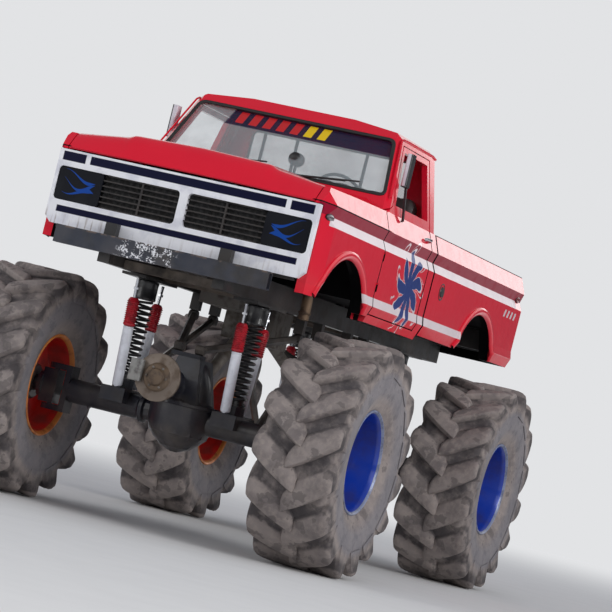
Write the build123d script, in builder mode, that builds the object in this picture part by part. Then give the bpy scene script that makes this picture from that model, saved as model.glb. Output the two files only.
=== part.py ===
from build123d import *
import os
from math import atan, cos, pi, radians, sin, sqrt, tan

# A regular-cab pickup on a lifted chassis with farm tyres. Millimetres, +X to the truck's left,
# +Y to the tail, +Z up, origin on the ground under the middle of the whole truck.

# Overall places along the truck
wheelbase = 3378
front_overhang = 930
rear_overhang = 1112
overall_length = front_overhang + wheelbase + rear_overhang
front_y = -overall_length / 2
tail_y = overall_length / 2
front_axle_y = front_y + front_overhang
rear_axle_y = front_axle_y + wheelbase

# Tyres and rims, both drawn with flat sides so that a flat one rests on the ground
tyre_radius = 800
tyre_width = 590
tyre_centre_x = 1185
tyre_sides = 16
tread_depth = 55
lugs_per_side = 16
lug_width = 80
lug_flank_angle = 8
lug_rise = 220
lug_overlap = 45
lug_root_radius = 650
shoulder_width = 55
sidewall_radius = 590
bead_face_radius = 472
rim_width = 464
rim_seat_radius = 345
rim_flange_radius = 362
rim_wall = 20
rim_flange_thickness = 14
rim_disc_thickness = 16
rim_disc_offset = -35
rim_fit = 0.3
hub_radius = 130
hub_length = 72
drive_flange_radius = 105
drive_flange_length = 80
hub_cap_radius = 62
hub_cap_length = 50
spindle_radius = 45
spindle_clearance = 0.05

# Round pieces that nothing turns on are drawn with flat sides
bar_sides = 12
thin_bar_sides = 8
disc_sides = 24
link_sides = 6

# Axles
axle_z = tyre_radius
axle_tube_radius = 80
steer_axle_half = 810
bowl_x = 60
bowl_flange_z = axle_z + 95
carrier_draft = 68
# Height of each ring of the bowl from the axle's middle, and its radius
bowl_rings = ((95, 225), (0, 225), (-117, 200), (-207, 106), (-235, 40))
carrier_half_width = 150
carrier_half_length = 190
carrier_top_z = 1215
pinion_z = 1030
pinion_snout_radius = 75
pinion_snout_end = 300
pinion_flange_radius = 70
pinion_flange_thickness = 20
brake_disc_radius = 165
brake_disc_thickness = 22
brake_disc_y = 450
caliper_arm_width = 60
caliper_arm_length = 70

# Steering
kingpin_x = 930
kingpin_radius = 20
kingpin_half_length = 165
knuckle_half_height = 120
knuckle_half_depth = 60
knuckle_inner = 40
knuckle_outer = 70
ear_gap = 5
ear_thickness = 40
ear_half_depth = 55
ear_reach = 55
ear_web_thickness = 40
spindle_flange_radius = 95
spindle_flange_thickness = 30
steer_arm_length = 290
steer_arm_thickness = 30
steer_arm_z = 800
steer_arm_half_width = 28
tie_rod_radius = 16
tie_rod_eye_radius = 24
tie_rod_eye_height = 43
tie_rod_pin_radius = 11
steer_pin_clearance = 0.05

# Frame
rail_x = 410
rail_width = 70
rail_bottom_z = 1690
rail_top_z = 1860
rail_wall = 12
rail_front_y = front_axle_y - 800
rail_rear_y = front_axle_y + 4350
rail_inner_x = rail_x - rail_width / 2
cross_height = 60
cross_width = 80
seat_gap = 0.3
tower_plate_thickness = 20
tower_plate_half_width = 90
tower_plate_front = 285
tower_plate_rear = 320
link_bracket_height = 120
link_bracket_width = 60
link_eye_radius = 35
link_radius = 28
link_eye_length = 60
lower_link_x = 550
lower_link_z = 820
lower_link_run = 1350
upper_link_x = 80
upper_link_run = 950

# Springs and shocks; the shocks stand one ahead of and one behind each spring
spring_x = 420
spring_radius = 75
spring_wire = 16
spring_can_radius = 80
spring_bottom_z = 970
spring_top_z = 1530
spring_seat_z = 900
shock_x = 410
shock_radius = 36
shock_boot_radius = 44
shock_rod_radius = 10
shock_bottom_z = 900
shock_body_top_z = 1330
shock_boot_top_z = 1530
shock_tops = ((-220, -130), (260, 170))

# Body side section, half width against height
sill_z = 1750
belt_z = 2545
belt_half_width = 945
side_section = (
    (965, 1750),
    (1012, 1868),
    (1000, 1928),
    (1005, 2272),
    (975, 2335),
    (998, 2411),
    (belt_half_width, belt_z),
)
body_half_width = 1012
body_wall_x = 900
sill_inner_x = 862
panel_gap = 8
arch_radius = 607
arch_centre_z = 1533
front_arch_radius = 590
front_arch_centre_z = 1550
front_arch_shift = -50

# Cab
cab_front_y = front_axle_y + 560
cab_rear_y = front_axle_y + 1865
cab_floor_z = 1875
cab_floor_thickness = 30
cab_wall = 50
greenhouse_height = 553
roof_edge_z = belt_z + greenhouse_height
roof_shoulder_rise = 44
roof_rise = 80
roof_half_width = 805
roof_shoulder_half_width = 750
roof_top_half_width = 400
roof_front_y = front_axle_y + 990
roof_rear_y = front_axle_y + 1890
roof_crown_inset = 75
pillar_wall = 45
post_chamfer = 38
windshield_base_y = front_axle_y + 700
windshield_base_z = belt_z + 85
windshield_slope = (roof_front_y - windshield_base_y) / (roof_edge_z - windshield_base_z)
cowl_top_z = belt_z + 77
cowl_edge_z = belt_z
cowl_shoulder_x = 800
cowl_shoulder_z = belt_z + 55
windshield_half_bottom = 868
windshield_half_top = 762
windshield_sill = 112
windshield_bottom_z = belt_z + windshield_sill
windshield_head = 18
windshield_top_z = roof_edge_z - windshield_head
rear_window_half = 660
rear_window_sill = 95
rear_window_bottom_z = belt_z + rear_window_sill
rear_window_head = 63
rear_window_top_z = roof_edge_z - rear_window_head
rear_window_corner = 50
glass_thickness = 8

# Doors
door_front_y = front_axle_y + 620
door_rear_y = front_axle_y + 1725
door_bottom_z = 1805
door_head = 34
door_top_z = roof_edge_z - door_head
door_belt_front_z = belt_z - 5
door_frame_base_y = front_axle_y + 765
door_frame_base_z = belt_z + 55
door_frame_top_y = front_axle_y + 1045
door_rear_gap = 14
door_frame_rear_gap = 22
door_frame_width = 48
door_window_bottom_z = belt_z + 67
door_hinge_x = 1006
door_hinge_y = door_front_y + 14
door_hinge_zs = (2000, 2220)
door_barrel_radius = 5
door_barrel_length = 50
door_leaf_depth = 26
door_pin_radius = 2.5
door_ear_height = 8
door_notch = 14
mirror_x = 926
mirror_y = door_front_y + 330
mirror_z = belt_z + 337
mirror_width = 46
mirror_height = 240
mirror_depth = 90
mirror_stalk_x = 972
mirror_stalk_radius = 8
mirror_foot_z = belt_z - 25

# Hood: half widths, then per station the heights at them
hood_half_width = 905
bulge_edge_x = 545
bulge_top_x = 505
hood_thickness = 26
hood_lip = 18
hood_stations = (
    (-765, 2411, 2413, 2414, 2416),
    (-660, 2518, 2559, 2580, 2592),
    (-100, 2532, 2580, 2602, 2616),
    (552, 2540, 2596, 2616, 2628),
)
hood_rear_y = front_axle_y + 552
hood_hinge_x = 230
hood_hinge_y = front_axle_y + 564
hood_hinge_z = 2632
hood_barrel_radius = 6
hood_barrel_length = 60
hood_pin_radius = 3
hood_ear_thickness = 8
hood_ear_width = 18

# Front end
grille_face_y = front_axle_y - 772
grille_panel_depth = 50
grille_half_width = 955
grille_bottom_z = 1880
grille_top_z = 2388
grille_opening_bottom_z = 2043
grille_opening_top_z = 2274
grille_centre_bar = 60
grille_opening_outer_x = 932
grille_opening_radius = 30
grille_corner_chamfer = 45
lamp_cover_inner_x = 600
lamp_cover_thickness = 20
grille_bar_count = 7
grille_bar_height = 9
grille_bar_depth = 16
grille_strut_width = 14
grille_strut_x = 310
support_thickness = 40
bumper_half_width = 780
bumper_bottom_z = 1752
bumper_height = 121
bumper_depth = 70
bumper_wall = 8
bracket_width = 85
bracket_top_z = 1960
bracket_x = 420

# Bed
bed_front_y = front_axle_y + 1893
bed_rear_y = tail_y
bed_floor_z = 2060
bed_floor_thickness = 40
bed_inner_half = 875
bed_front_wall = 40
tailgate_thickness = 70
tailgate_half_width = 822
tailgate_bottom_z = 2000
tailgate_top_z = 2538
tailgate_hinge_z = 1990
tailgate_hinge_y = bed_rear_y - 18
tailgate_pin_radius = 9
tailgate_pin_length = 15
tailgate_sill_gap = 32
bed_post_depth = 90
wheelhouse_half_gap = 635
wheelhouse_wall = 32
bed_sill_z = 1790
bed_sill_width = 90
floor_groove_count = 10
floor_groove_width = 24
floor_groove_depth = 6
floor_groove_margin = 160
tail_lamp_x = 902
tail_lamp_z = 2315
tail_lamp_width = 90
tail_lamp_height = 300
tail_lamp_depth = 15
tow_plate_width = 160
tow_plate_thickness = 30
tow_plate_length = 115
tow_plate_z = 1775
tow_bore_radius = 13
tow_bore_setback = 40

# Driveline
engine_front = -400
engine_rear = 320
engine_bottom_z = rail_bottom_z + cross_height + seat_gap
gearbox_rear = 850
gearbox_tail = 1000
gearbox_half_width = 150
gearbox_bottom_z = 1620
gearbox_top_z = 1868
gearbox_tail_radius = 60
transfer_rear = 1377
transfer_half_width = 190
transfer_bottom_z = 1430
transfer_top_z = 1850
output_z = 1520
shaft_radius = 40
yoke_radius = 55
yoke_length = 70
radiator_y = -600
radiator_half_width = 380
radiator_bottom_z = rail_top_z + seat_gap
radiator_height = 480
radiator_thickness = 70


def across(y):
    """A plane square to the truck's length, with the sketch's x to the left and its y up."""
    return Plane(origin=(0, y, 0), x_dir=(1, 0, 0), z_dir=(0, -1, 0))


def along(x):
    """A plane square to the axles, with the sketch's x to the tail and its y up."""
    return Plane(origin=(x, 0, 0), x_dir=(0, 1, 0), z_dir=(1, 0, 0))


def bar_plane(start, end):
    """A plane at the start of a straight bar, square to it."""
    run = Vector(*end) - Vector(*start)
    return Plane(origin=start, z_dir=run)


def flat_ring(centre, across_axis, up_axis, radius, sides):
    """The corners of a flat-sided ring whose flats stand at the given radius."""
    corner = radius / cos(pi / sides)
    points = []
    for number in range(sides):
        turn = 2 * pi * (number + 0.5) / sides
        points.append(centre + across_axis * corner * cos(turn) + up_axis * corner * sin(turn))
    return points


def flat_faced(rings):
    """A solid with flat faces from each ring of corners to the next, closed at both ends."""
    faces = [Face(Wire.make_polygon(rings[0], close=True)), Face(Wire.make_polygon(rings[-1], close=True))]
    count = len(rings[0])
    for ring, after in zip(rings, rings[1:]):
        for number in range(count):
            follow = (number + 1) % count
            corners = (ring[number], ring[follow], after[follow], after[number])
            faces.append(Face(Wire.make_polygon(corners, close=True)))
    return Solid(Shell(faces))


def write(piece, name):
    piece.part.label = name
    export_step(piece.part, f"parts/{name}.step")


def body_section(bottom):
    """The body's side section from its bottom edge to the belt, both sides."""
    right = [(x, z) for x, z in side_section if z > bottom]
    low_x, low_z = side_section[0]
    next_x, next_z = side_section[1]
    share = (bottom - low_z) / (next_z - low_z)
    right.insert(0, (low_x + (next_x - low_x) * share, bottom))
    return right + [(-x, z) for x, z in reversed(right)]


os.makedirs("parts", exist_ok=True)

# Tyre: a ring of flat-sided steps, with two staggered rows of slanted lugs
half_tyre = tyre_width / 2
crown_radius = tyre_radius - tread_depth
flat_turn = 180 / tyre_sides
# Offset of each ring from the tyre's middle, and its radius
tyre_rings = (
    (half_tyre, sidewall_radius),
    (half_tyre - shoulder_width, crown_radius),
    (shoulder_width - half_tyre, crown_radius),
    (-half_tyre, sidewall_radius),
)
flange_inner = rim_width / 2 - rim_flange_thickness
dish_floor_radius = rim_flange_radius + rim_fit
lug_run = half_tyre + lug_overlap
lug_slant = atan(lug_rise / lug_run)
lug_reach = (lug_rise + lug_width / cos(lug_slant)) / 2
lug_height = sqrt(tyre_radius**2 - lug_reach**2) - lug_root_radius
lug_half_top = lug_width / cos(lug_slant) / 2
lug_half_root = lug_half_top + lug_height * tan(radians(lug_flank_angle)) / cos(lug_slant)
wheel_axis = Vector(1, 0, 0)
wheel_rear = Vector(0, 1, 0)
wheel_up = Vector(0, 0, 1)


def tyre_ring(offset, radius):
    """A ring of the tyre's corners at an offset along its axis."""
    return flat_ring(wheel_axis * offset, wheel_rear, wheel_up, radius, tyre_sides)


def lug(side, turn):
    """One slanted lug that narrows outwards, at a turn round the tyre's axis."""
    out = Vector(0, -cos(turn), sin(turn))
    up = Vector(0, sin(turn), cos(turn))
    rings = []
    for height, half in ((lug_root_radius, lug_half_root), (lug_root_radius + lug_height, lug_half_top)):
        ring = []
        for offset, rise in ((-side * lug_overlap, -lug_rise / 2), (side * half_tyre, lug_rise / 2)):
            ends = [wheel_axis * offset + up * (rise + way * half) + out * height for way in (-1, 1)]
            ring += ends if not ring else reversed(ends)
        rings.append(ring)
    return flat_faced(rings)


with BuildPart() as tyre_shape:
    add(flat_faced([tyre_ring(offset, radius) for offset, radius in tyre_rings]))
    for side, first_share in ((1, 0), (-1, 0.5)):
        for number in range(lugs_per_side):
            add(lug(side, 2 * pi * (number + first_share) / lugs_per_side))
    for side in (1, -1):
        dish_rings = [
            tyre_ring(side * half_tyre, bead_face_radius),
            tyre_ring(side * flange_inner, dish_floor_radius),
        ]
        add(flat_faced(dish_rings), mode=Mode.SUBTRACT)
    with BuildSketch(Plane.YZ.offset(-flange_inner)):
        RegularPolygon(rim_seat_radius + rim_fit, tyre_sides, major_radius=False, rotation=flat_turn)
    extrude(amount=2 * flange_inner, mode=Mode.SUBTRACT)

# Rim: a deep barrel with two flanges, a disc behind its middle, a hub and a drive flange
barrel_radius = rim_seat_radius - rim_wall
disc_back = rim_disc_offset - rim_disc_thickness / 2
disc_front = rim_disc_offset + rim_disc_thickness / 2
with BuildPart() as rim_shape:
    with BuildSketch(Plane.YZ.offset(-rim_width / 2)):
        RegularPolygon(rim_seat_radius, tyre_sides, major_radius=False, rotation=flat_turn)
    extrude(amount=rim_width)
    for start_x in (-rim_width / 2, rim_width / 2 - rim_flange_thickness + rim_fit):
        with BuildSketch(Plane.YZ.offset(start_x)):
            RegularPolygon(rim_flange_radius, tyre_sides, major_radius=False, rotation=flat_turn)
        extrude(amount=rim_flange_thickness - rim_fit)
    for start_x, run in ((-rim_width / 2, disc_back + rim_width / 2), (disc_front, rim_width / 2 - disc_front)):
        with BuildSketch(Plane.YZ.offset(start_x)):
            RegularPolygon(barrel_radius, tyre_sides, major_radius=False, rotation=flat_turn)
        extrude(amount=run, mode=Mode.SUBTRACT)
    with BuildSketch(Plane.YZ.offset(disc_back - hub_length)):
        RegularPolygon(hub_radius, bar_sides)
    extrude(amount=hub_length)
    with BuildSketch(Plane.YZ.offset(disc_front)):
        RegularPolygon(drive_flange_radius, bar_sides)
    extrude(amount=drive_flange_length)
    with BuildSketch(Plane.YZ.offset(disc_front + drive_flange_length)):
        RegularPolygon(hub_cap_radius, bar_sides)
    extrude(amount=hub_cap_length)
    with BuildSketch(Plane.YZ.offset(disc_back - hub_length)):
        Circle(spindle_radius + spindle_clearance)
    extrude(amount=hub_length + rim_disc_thickness + drive_flange_length / 2, mode=Mode.SUBTRACT)

hub_inner_x = tyre_centre_x + disc_back - hub_length
spindle_end_x = tyre_centre_x + disc_front + drive_flange_length / 2 - 5
wheel_places = (
    ("front_left", 1, front_axle_y),
    ("front_right", -1, front_axle_y),
    ("rear_left", 1, rear_axle_y),
    ("rear_right", -1, rear_axle_y),
)
for place, side, wheel_y in wheel_places:
    for kind, shape in (("tyre", tyre_shape), ("rim", rim_shape)):
        with BuildPart() as wheel_piece:
            with Locations((tyre_centre_x, wheel_y, axle_z)):
                add(shape.part)
            if side < 0:
                mirror(about=Plane.YZ, mode=Mode.REPLACE)
        write(wheel_piece, f"{kind}_{place}")


# Axles
def axle_centre(axle_y, brake_side):
    """The bowl under the axle, the carrier that drops in from above, its snouts and the seats."""
    bowl = []
    for height, radius in bowl_rings:
        ring_centre = Vector(bowl_x, axle_y, axle_z + height)
        bowl.append(flat_ring(ring_centre, wheel_axis, wheel_rear, radius, bar_sides))
    carrier = []
    for height, draft in ((bowl_flange_z, 0), (carrier_top_z, carrier_draft)):
        half_width = carrier_half_width - draft
        half_length = carrier_half_length - draft
        carrier.append([
            Vector(bowl_x + way_x * half_width, axle_y + way_y * half_length, height)
            for way_x, way_y in ((-1, -1), (1, -1), (1, 1), (-1, 1))
        ])
    with BuildPart() as centre:
        add(flat_faced(bowl))
        add(flat_faced(carrier))
        disc_seat = brake_disc_y - brake_disc_thickness / 2 - seat_gap
        shaft_seat = pinion_snout_end - pinion_flange_thickness
        for toward, reach in ((-brake_side, shaft_seat), (brake_side, disc_seat)):
            with BuildSketch(across(axle_y)):
                with Locations((0, pinion_z)):
                    RegularPolygon(pinion_snout_radius, bar_sides)
            extrude(amount=-toward * reach)
        bottom_runs = [bottom_run for top_run, bottom_run in shock_tops]
        with BuildSketch(Plane.XY.offset(axle_z)):
            seat_y = axle_y + sum(bottom_runs) / 2
            with Locations((spring_x, seat_y), (-spring_x, seat_y)):
                Rectangle(2 * tower_plate_half_width, max(bottom_runs) - min(bottom_runs) + 2 * shock_radius)
        extrude(amount=spring_seat_z - axle_z - seat_gap)
        with BuildSketch(Plane.XY.offset(axle_z)):
            with Locations((spring_x, axle_y), (-spring_x, axle_y)):
                RegularPolygon(spring_radius, bar_sides)
        extrude(amount=spring_bottom_z - axle_z - seat_gap)
    return centre.part


def link_seats(axle_y, toward):
    """The lugs on the axle tube that the lower links end on, and the post for the upper ones."""
    with BuildPart() as seats:
        with BuildSketch(Plane.XY.offset(lower_link_z - link_eye_radius)):
            seat_y = axle_y + toward * (axle_tube_radius + 40) / 2
            with Locations((lower_link_x, seat_y), (-lower_link_x, seat_y)):
                Rectangle(link_eye_length, axle_tube_radius + 40)
        extrude(amount=2 * link_eye_radius)
        with BuildSketch(Plane.XY.offset(carrier_top_z)):
            with Locations((0, axle_y)):
                Rectangle(2 * upper_link_x + link_eye_length, 100)
        extrude(amount=30)
    return seats.part


with BuildPart() as front_axle:
    with BuildSketch(along(-steer_axle_half)):
        with Locations((front_axle_y, axle_z)):
            RegularPolygon(axle_tube_radius, bar_sides)
    extrude(amount=2 * steer_axle_half)
    add(axle_centre(front_axle_y, -1))
    add(link_seats(front_axle_y, 1))
    web_x = steer_axle_half
    ear_low = knuckle_half_height + ear_gap
    for side in (1, -1):
        with BuildSketch(along(side * web_x)):
            with Locations((front_axle_y, axle_z)):
                Rectangle(2 * ear_half_depth + 30, 2 * (ear_low + ear_thickness))
        extrude(amount=side * ear_web_thickness / 2, both=True)
        for bottom in (axle_z + ear_low, axle_z - ear_low - ear_thickness):
            with BuildSketch(Plane.XY.offset(bottom)):
                with Locations((side * (web_x + kingpin_x) / 2, front_axle_y)):
                    Rectangle(kingpin_x - web_x, 2 * ear_half_depth)
                with Locations((side * kingpin_x, front_axle_y)):
                    RegularPolygon(ear_reach, bar_sides)
                    Circle(kingpin_radius + steer_pin_clearance, mode=Mode.SUBTRACT)
            extrude(amount=ear_thickness)
write(front_axle, "front_axle")

with BuildPart() as rear_axle:
    tube_half = hub_inner_x - 10
    with BuildSketch(along(-tube_half)):
        with Locations((rear_axle_y, axle_z)):
            RegularPolygon(axle_tube_radius, bar_sides)
    extrude(amount=2 * tube_half)
    with BuildSketch(along(-spindle_end_x)):
        with Locations((rear_axle_y, axle_z)):
            Circle(spindle_radius)
    extrude(amount=2 * spindle_end_x)
    add(axle_centre(rear_axle_y, 1))
    add(link_seats(rear_axle_y, -1))
write(rear_axle, "rear_axle")

# Pinion brakes: a disc on each outer pinion flange, with a caliper hung over its side
with BuildPart() as pinion_brakes:
    for axle_y, toward in ((front_axle_y, -1), (rear_axle_y, 1)):
        disc_y = axle_y + toward * brake_disc_y
        with BuildSketch(across(disc_y)):
            with Locations((0, pinion_z)):
                RegularPolygon(brake_disc_radius, disc_sides)
        extrude(amount=brake_disc_thickness / 2, both=True)
        with BuildSketch(across(disc_y + toward * brake_disc_thickness / 2)):
            with Locations((0, pinion_z)):
                RegularPolygon(pinion_flange_radius, bar_sides)
        extrude(amount=-toward * 25)
write(pinion_brakes, "pinion_brakes")

with BuildPart() as brake_calipers:
    for axle_y, toward in ((front_axle_y, -1), (rear_axle_y, 1)):
        disc_y = axle_y + toward * brake_disc_y
        with BuildSketch(across(disc_y)):
            with Locations((-brake_disc_radius + 10, pinion_z + 20)):
                Rectangle(90, 150)
        extrude(amount=45, both=True)
        with BuildSketch(across(disc_y)):
            with Locations((0, pinion_z)):
                Circle(brake_disc_radius + 3)
        extrude(amount=brake_disc_thickness / 2 + 3, both=True, mode=Mode.SUBTRACT)
        with BuildSketch(across(disc_y - toward * (brake_disc_thickness / 2 + 3 + caliper_arm_length))):
            with Locations((-brake_disc_radius / 2 - caliper_arm_width / 2, pinion_z + 20)):
                Rectangle(brake_disc_radius + caliper_arm_width, caliper_arm_width)
            with Locations((0, pinion_z)):
                Circle(pinion_snout_radius + seat_gap, mode=Mode.SUBTRACT)
            with Locations((brake_disc_radius, pinion_z)):
                Rectangle(2 * brake_disc_radius, 2 * brake_disc_radius, mode=Mode.SUBTRACT)
        extrude(amount=-toward * 18)
        with BuildSketch(across(disc_y - toward * (brake_disc_thickness / 2 + 3 + caliper_arm_length))):
            with Locations((-brake_disc_radius - caliper_arm_width / 2, pinion_z + 20)):
                Rectangle(caliper_arm_width, caliper_arm_width)
        extrude(amount=-toward * (caliper_arm_length + 1))
write(brake_calipers, "brake_calipers")

# Knuckles turn on their kingpins; the arms behind them carry the tie rod
arm_bottom_z = steer_arm_z - steer_arm_thickness / 2
rod_eye_top_z = arm_bottom_z - ear_gap
rod_eye_bottom_z = rod_eye_top_z - tie_rod_eye_height
tie_rod_z = (rod_eye_top_z + rod_eye_bottom_z) / 2
for place, side in (("left", 1), ("right", -1)):
    with BuildPart() as knuckle:
        with BuildSketch(Plane.XY.offset(axle_z - knuckle_half_height)):
            with Locations((kingpin_x + (knuckle_outer - knuckle_inner) / 2, front_axle_y)):
                Rectangle(knuckle_inner + knuckle_outer, 2 * knuckle_half_depth)
        extrude(amount=2 * knuckle_half_height)
        with BuildSketch(Plane.XY.offset(axle_z - kingpin_half_length)):
            with Locations((kingpin_x, front_axle_y)):
                Circle(kingpin_radius)
        extrude(amount=2 * kingpin_half_length)
        with BuildSketch(along(kingpin_x + knuckle_outer - 5)):
            with Locations((front_axle_y, axle_z)):
                RegularPolygon(spindle_flange_radius, bar_sides)
        extrude(amount=spindle_flange_thickness)
        with BuildSketch(along(kingpin_x)):
            with Locations((front_axle_y, axle_z)):
                Circle(spindle_radius)
        extrude(amount=spindle_end_x - kingpin_x)
        with BuildSketch(Plane.XY.offset(arm_bottom_z)):
            with Locations((kingpin_x, front_axle_y + steer_arm_length / 2)):
                Rectangle(2 * steer_arm_half_width, steer_arm_length)
            with Locations((kingpin_x, front_axle_y + steer_arm_length)):
                RegularPolygon(steer_arm_half_width, bar_sides)
        extrude(amount=steer_arm_thickness)
        with BuildSketch(Plane.XY.offset(rod_eye_bottom_z - 5)):
            with Locations((kingpin_x, front_axle_y + steer_arm_length)):
                Circle(tie_rod_pin_radius)
        extrude(amount=steer_arm_z - rod_eye_bottom_z)
        if side < 0:
            mirror(about=Plane.YZ, mode=Mode.REPLACE)
    write(knuckle, f"knuckle_{place}")

with BuildPart() as tie_rod:
    with BuildSketch(along(-kingpin_x)):
        with Locations((front_axle_y + steer_arm_length, tie_rod_z)):
            RegularPolygon(tie_rod_radius, thin_bar_sides)
    extrude(amount=2 * kingpin_x)
    with BuildSketch(Plane.XY.offset(rod_eye_bottom_z)):
        with Locations((kingpin_x, front_axle_y + steer_arm_length), (-kingpin_x, front_axle_y + steer_arm_length)):
            RegularPolygon(tie_rod_eye_radius, bar_sides)
    extrude(amount=tie_rod_eye_height)
    with BuildSketch(Plane.XY.offset(rod_eye_bottom_z)):
        with Locations((kingpin_x, front_axle_y + steer_arm_length), (-kingpin_x, front_axle_y + steer_arm_length)):
            Circle(tie_rod_pin_radius + steer_pin_clearance)
    extrude(amount=tie_rod_eye_height, mode=Mode.SUBTRACT)
write(tie_rod, "tie_rod")

# Frame: two box rails with the spring towers' plates and the links' brackets under them
bracket_ys = (
    front_axle_y + upper_link_run,
    front_axle_y + lower_link_run,
    rear_axle_y - lower_link_run,
    rear_axle_y - upper_link_run,
)
with BuildPart() as frame_rails:
    with BuildSketch(across(rail_front_y)):
        with Locations((rail_x, (rail_bottom_z + rail_top_z) / 2), (-rail_x, (rail_bottom_z + rail_top_z) / 2)):
            Rectangle(rail_width, rail_top_z - rail_bottom_z)
            Rectangle(rail_width - 2 * rail_wall, rail_top_z - rail_bottom_z - 2 * rail_wall, mode=Mode.SUBTRACT)
    extrude(amount=rail_front_y - rail_rear_y)
    plate_shift = (tower_plate_rear - tower_plate_front) / 2
    with BuildSketch(Plane.XY.offset(rail_bottom_z - tower_plate_thickness)):
        for axle_y in (front_axle_y, rear_axle_y):
            with Locations((spring_x, axle_y + plate_shift), (-spring_x, axle_y + plate_shift)):
                Rectangle(2 * tower_plate_half_width, tower_plate_front + tower_plate_rear)
    extrude(amount=tower_plate_thickness)
    with BuildSketch(Plane.XY.offset(rail_bottom_z - link_bracket_height)):
        for y in bracket_ys:
            with Locations((rail_x, y), (-rail_x, y)):
                Rectangle(rail_width, link_bracket_width)
    extrude(amount=link_bracket_height)
write(frame_rails, "frame_rails")

cross_ys = (-560, 120, 925, 1750, 2600, 4310)
with BuildPart() as crossmembers:
    for run in cross_ys:
        with BuildSketch(along(-rail_inner_x + seat_gap)):
            with Locations((front_axle_y + run, rail_bottom_z + cross_height / 2)):
                Rectangle(cross_width, cross_height)
        extrude(amount=2 * (rail_inner_x - seat_gap))
write(crossmembers, "crossmembers")

# Suspension: four links to each axle, a spring and two shocks at each corner
frame_eye_z = rail_bottom_z - link_bracket_height - link_eye_radius - seat_gap
with BuildPart() as suspension_links:
    for axle_y, toward in ((front_axle_y, 1), (rear_axle_y, -1)):
        for side in (1, -1):
            lower_eye_y = axle_y + toward * (axle_tube_radius + 40 + link_eye_radius + seat_gap)
            upper_eye_z = carrier_top_z + 30 + link_eye_radius + seat_gap
            link_ends = (
                (
                    (side * lower_link_x, lower_eye_y, lower_link_z),
                    (side * rail_x, axle_y + toward * lower_link_run, frame_eye_z),
                ),
                (
                    (side * upper_link_x, axle_y, upper_eye_z),
                    (side * rail_x, axle_y + toward * upper_link_run, frame_eye_z),
                ),
            )
            for start, end in link_ends:
                length = (Vector(*end) - Vector(*start)).length
                with BuildSketch(bar_plane(start, end)):
                    RegularPolygon(link_radius, link_sides)
                extrude(amount=length)
                for eye in (start, end):
                    with BuildSketch(along(eye[0])):
                        with Locations((eye[1], eye[2])):
                            RegularPolygon(link_eye_radius, thin_bar_sides)
                    extrude(amount=link_eye_length / 2, both=True)
write(suspension_links, "suspension_links")

corners = [(side, axle_y) for axle_y in (front_axle_y, rear_axle_y) for side in (1, -1)]
tower_bottom_z = rail_bottom_z - tower_plate_thickness
with BuildPart() as coil_springs:
    for side, axle_y in corners:
        with BuildSketch(Plane.XY.offset(spring_bottom_z)):
            with Locations((side * spring_x, axle_y)):
                RegularPolygon(spring_radius, bar_sides)
                RegularPolygon(spring_radius - spring_wire, bar_sides, mode=Mode.SUBTRACT)
        extrude(amount=spring_top_z - spring_bottom_z)
write(coil_springs, "coil_springs")

with BuildPart() as spring_cans:
    for side, axle_y in corners:
        with BuildSketch(Plane.XY.offset(spring_top_z + seat_gap)):
            with Locations((side * spring_x, axle_y)):
                RegularPolygon(spring_can_radius, bar_sides)
        extrude(amount=tower_bottom_z - spring_top_z - 2 * seat_gap)
write(spring_cans, "spring_cans")

shock_stages = (
    ("shock_bodies", shock_radius, shock_bottom_z, shock_body_top_z),
    ("shock_boots", shock_boot_radius, shock_body_top_z, shock_boot_top_z),
    ("shock_rods", shock_rod_radius, shock_boot_top_z, tower_bottom_z),
)
for name, radius, bottom, top in shock_stages:
    with BuildPart() as shock_stage:
        for side, axle_y in corners:
            for top_run, bottom_run in shock_tops:
                lean = (top_run - bottom_run) / (tower_bottom_z - shock_bottom_z)
                start = (side * shock_x, axle_y + bottom_run + lean * (bottom - shock_bottom_z), bottom)
                end = (side * shock_x, axle_y + bottom_run + lean * (top - shock_bottom_z), top)
                length = (Vector(*end) - Vector(*start)).length
                with BuildSketch(bar_plane(start, end)):
                    RegularPolygon(radius, thin_bar_sides)
                extrude(amount=length - seat_gap - 2 * radius * abs(lean) * (bottom == shock_bottom_z))
        if bottom == shock_bottom_z or top == tower_bottom_z:
            with BuildSketch(Plane.XY.offset(shock_bottom_z)):
                Rectangle(4 * tyre_centre_x, 2 * overall_length)
            extrude(amount=tower_bottom_z - seat_gap - shock_bottom_z, mode=Mode.INTERSECT)
    write(shock_stage, name)

# Driveline between the rails
with BuildPart() as engine_block:
    with BuildSketch(across(front_axle_y + engine_front)):
        Polygon(
            (-150, engine_bottom_z),
            (150, engine_bottom_z),
            (190, 1930),
            (330, 2190),
            (230, 2330),
            (90, 2400),
            (-90, 2400),
            (-230, 2330),
            (-330, 2190),
            (-190, 1930),
            align=None,
        )
    extrude(amount=engine_front - engine_rear)
write(engine_block, "engine_block")

with BuildPart() as gearbox:
    with BuildSketch(across(front_axle_y + engine_rear + seat_gap)):
        with Locations((0, (gearbox_bottom_z + gearbox_top_z) / 2)):
            Rectangle(2 * gearbox_half_width, gearbox_top_z - gearbox_bottom_z)
    extrude(amount=engine_rear - gearbox_rear)
    with BuildSketch(across(front_axle_y + gearbox_rear)):
        with Locations((0, rail_bottom_z + cross_height + seat_gap + gearbox_tail_radius)):
            RegularPolygon(gearbox_tail_radius, bar_sides)
    extrude(amount=gearbox_rear - gearbox_tail)
write(gearbox, "gearbox")

with BuildPart() as transfer_case:
    with BuildSketch(across(front_axle_y + gearbox_tail + seat_gap)):
        with Locations((0, (transfer_bottom_z + transfer_top_z) / 2)):
            Rectangle(2 * transfer_half_width, transfer_top_z - transfer_bottom_z)
    extrude(amount=gearbox_tail - transfer_rear)
write(transfer_case, "transfer_case")

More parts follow.
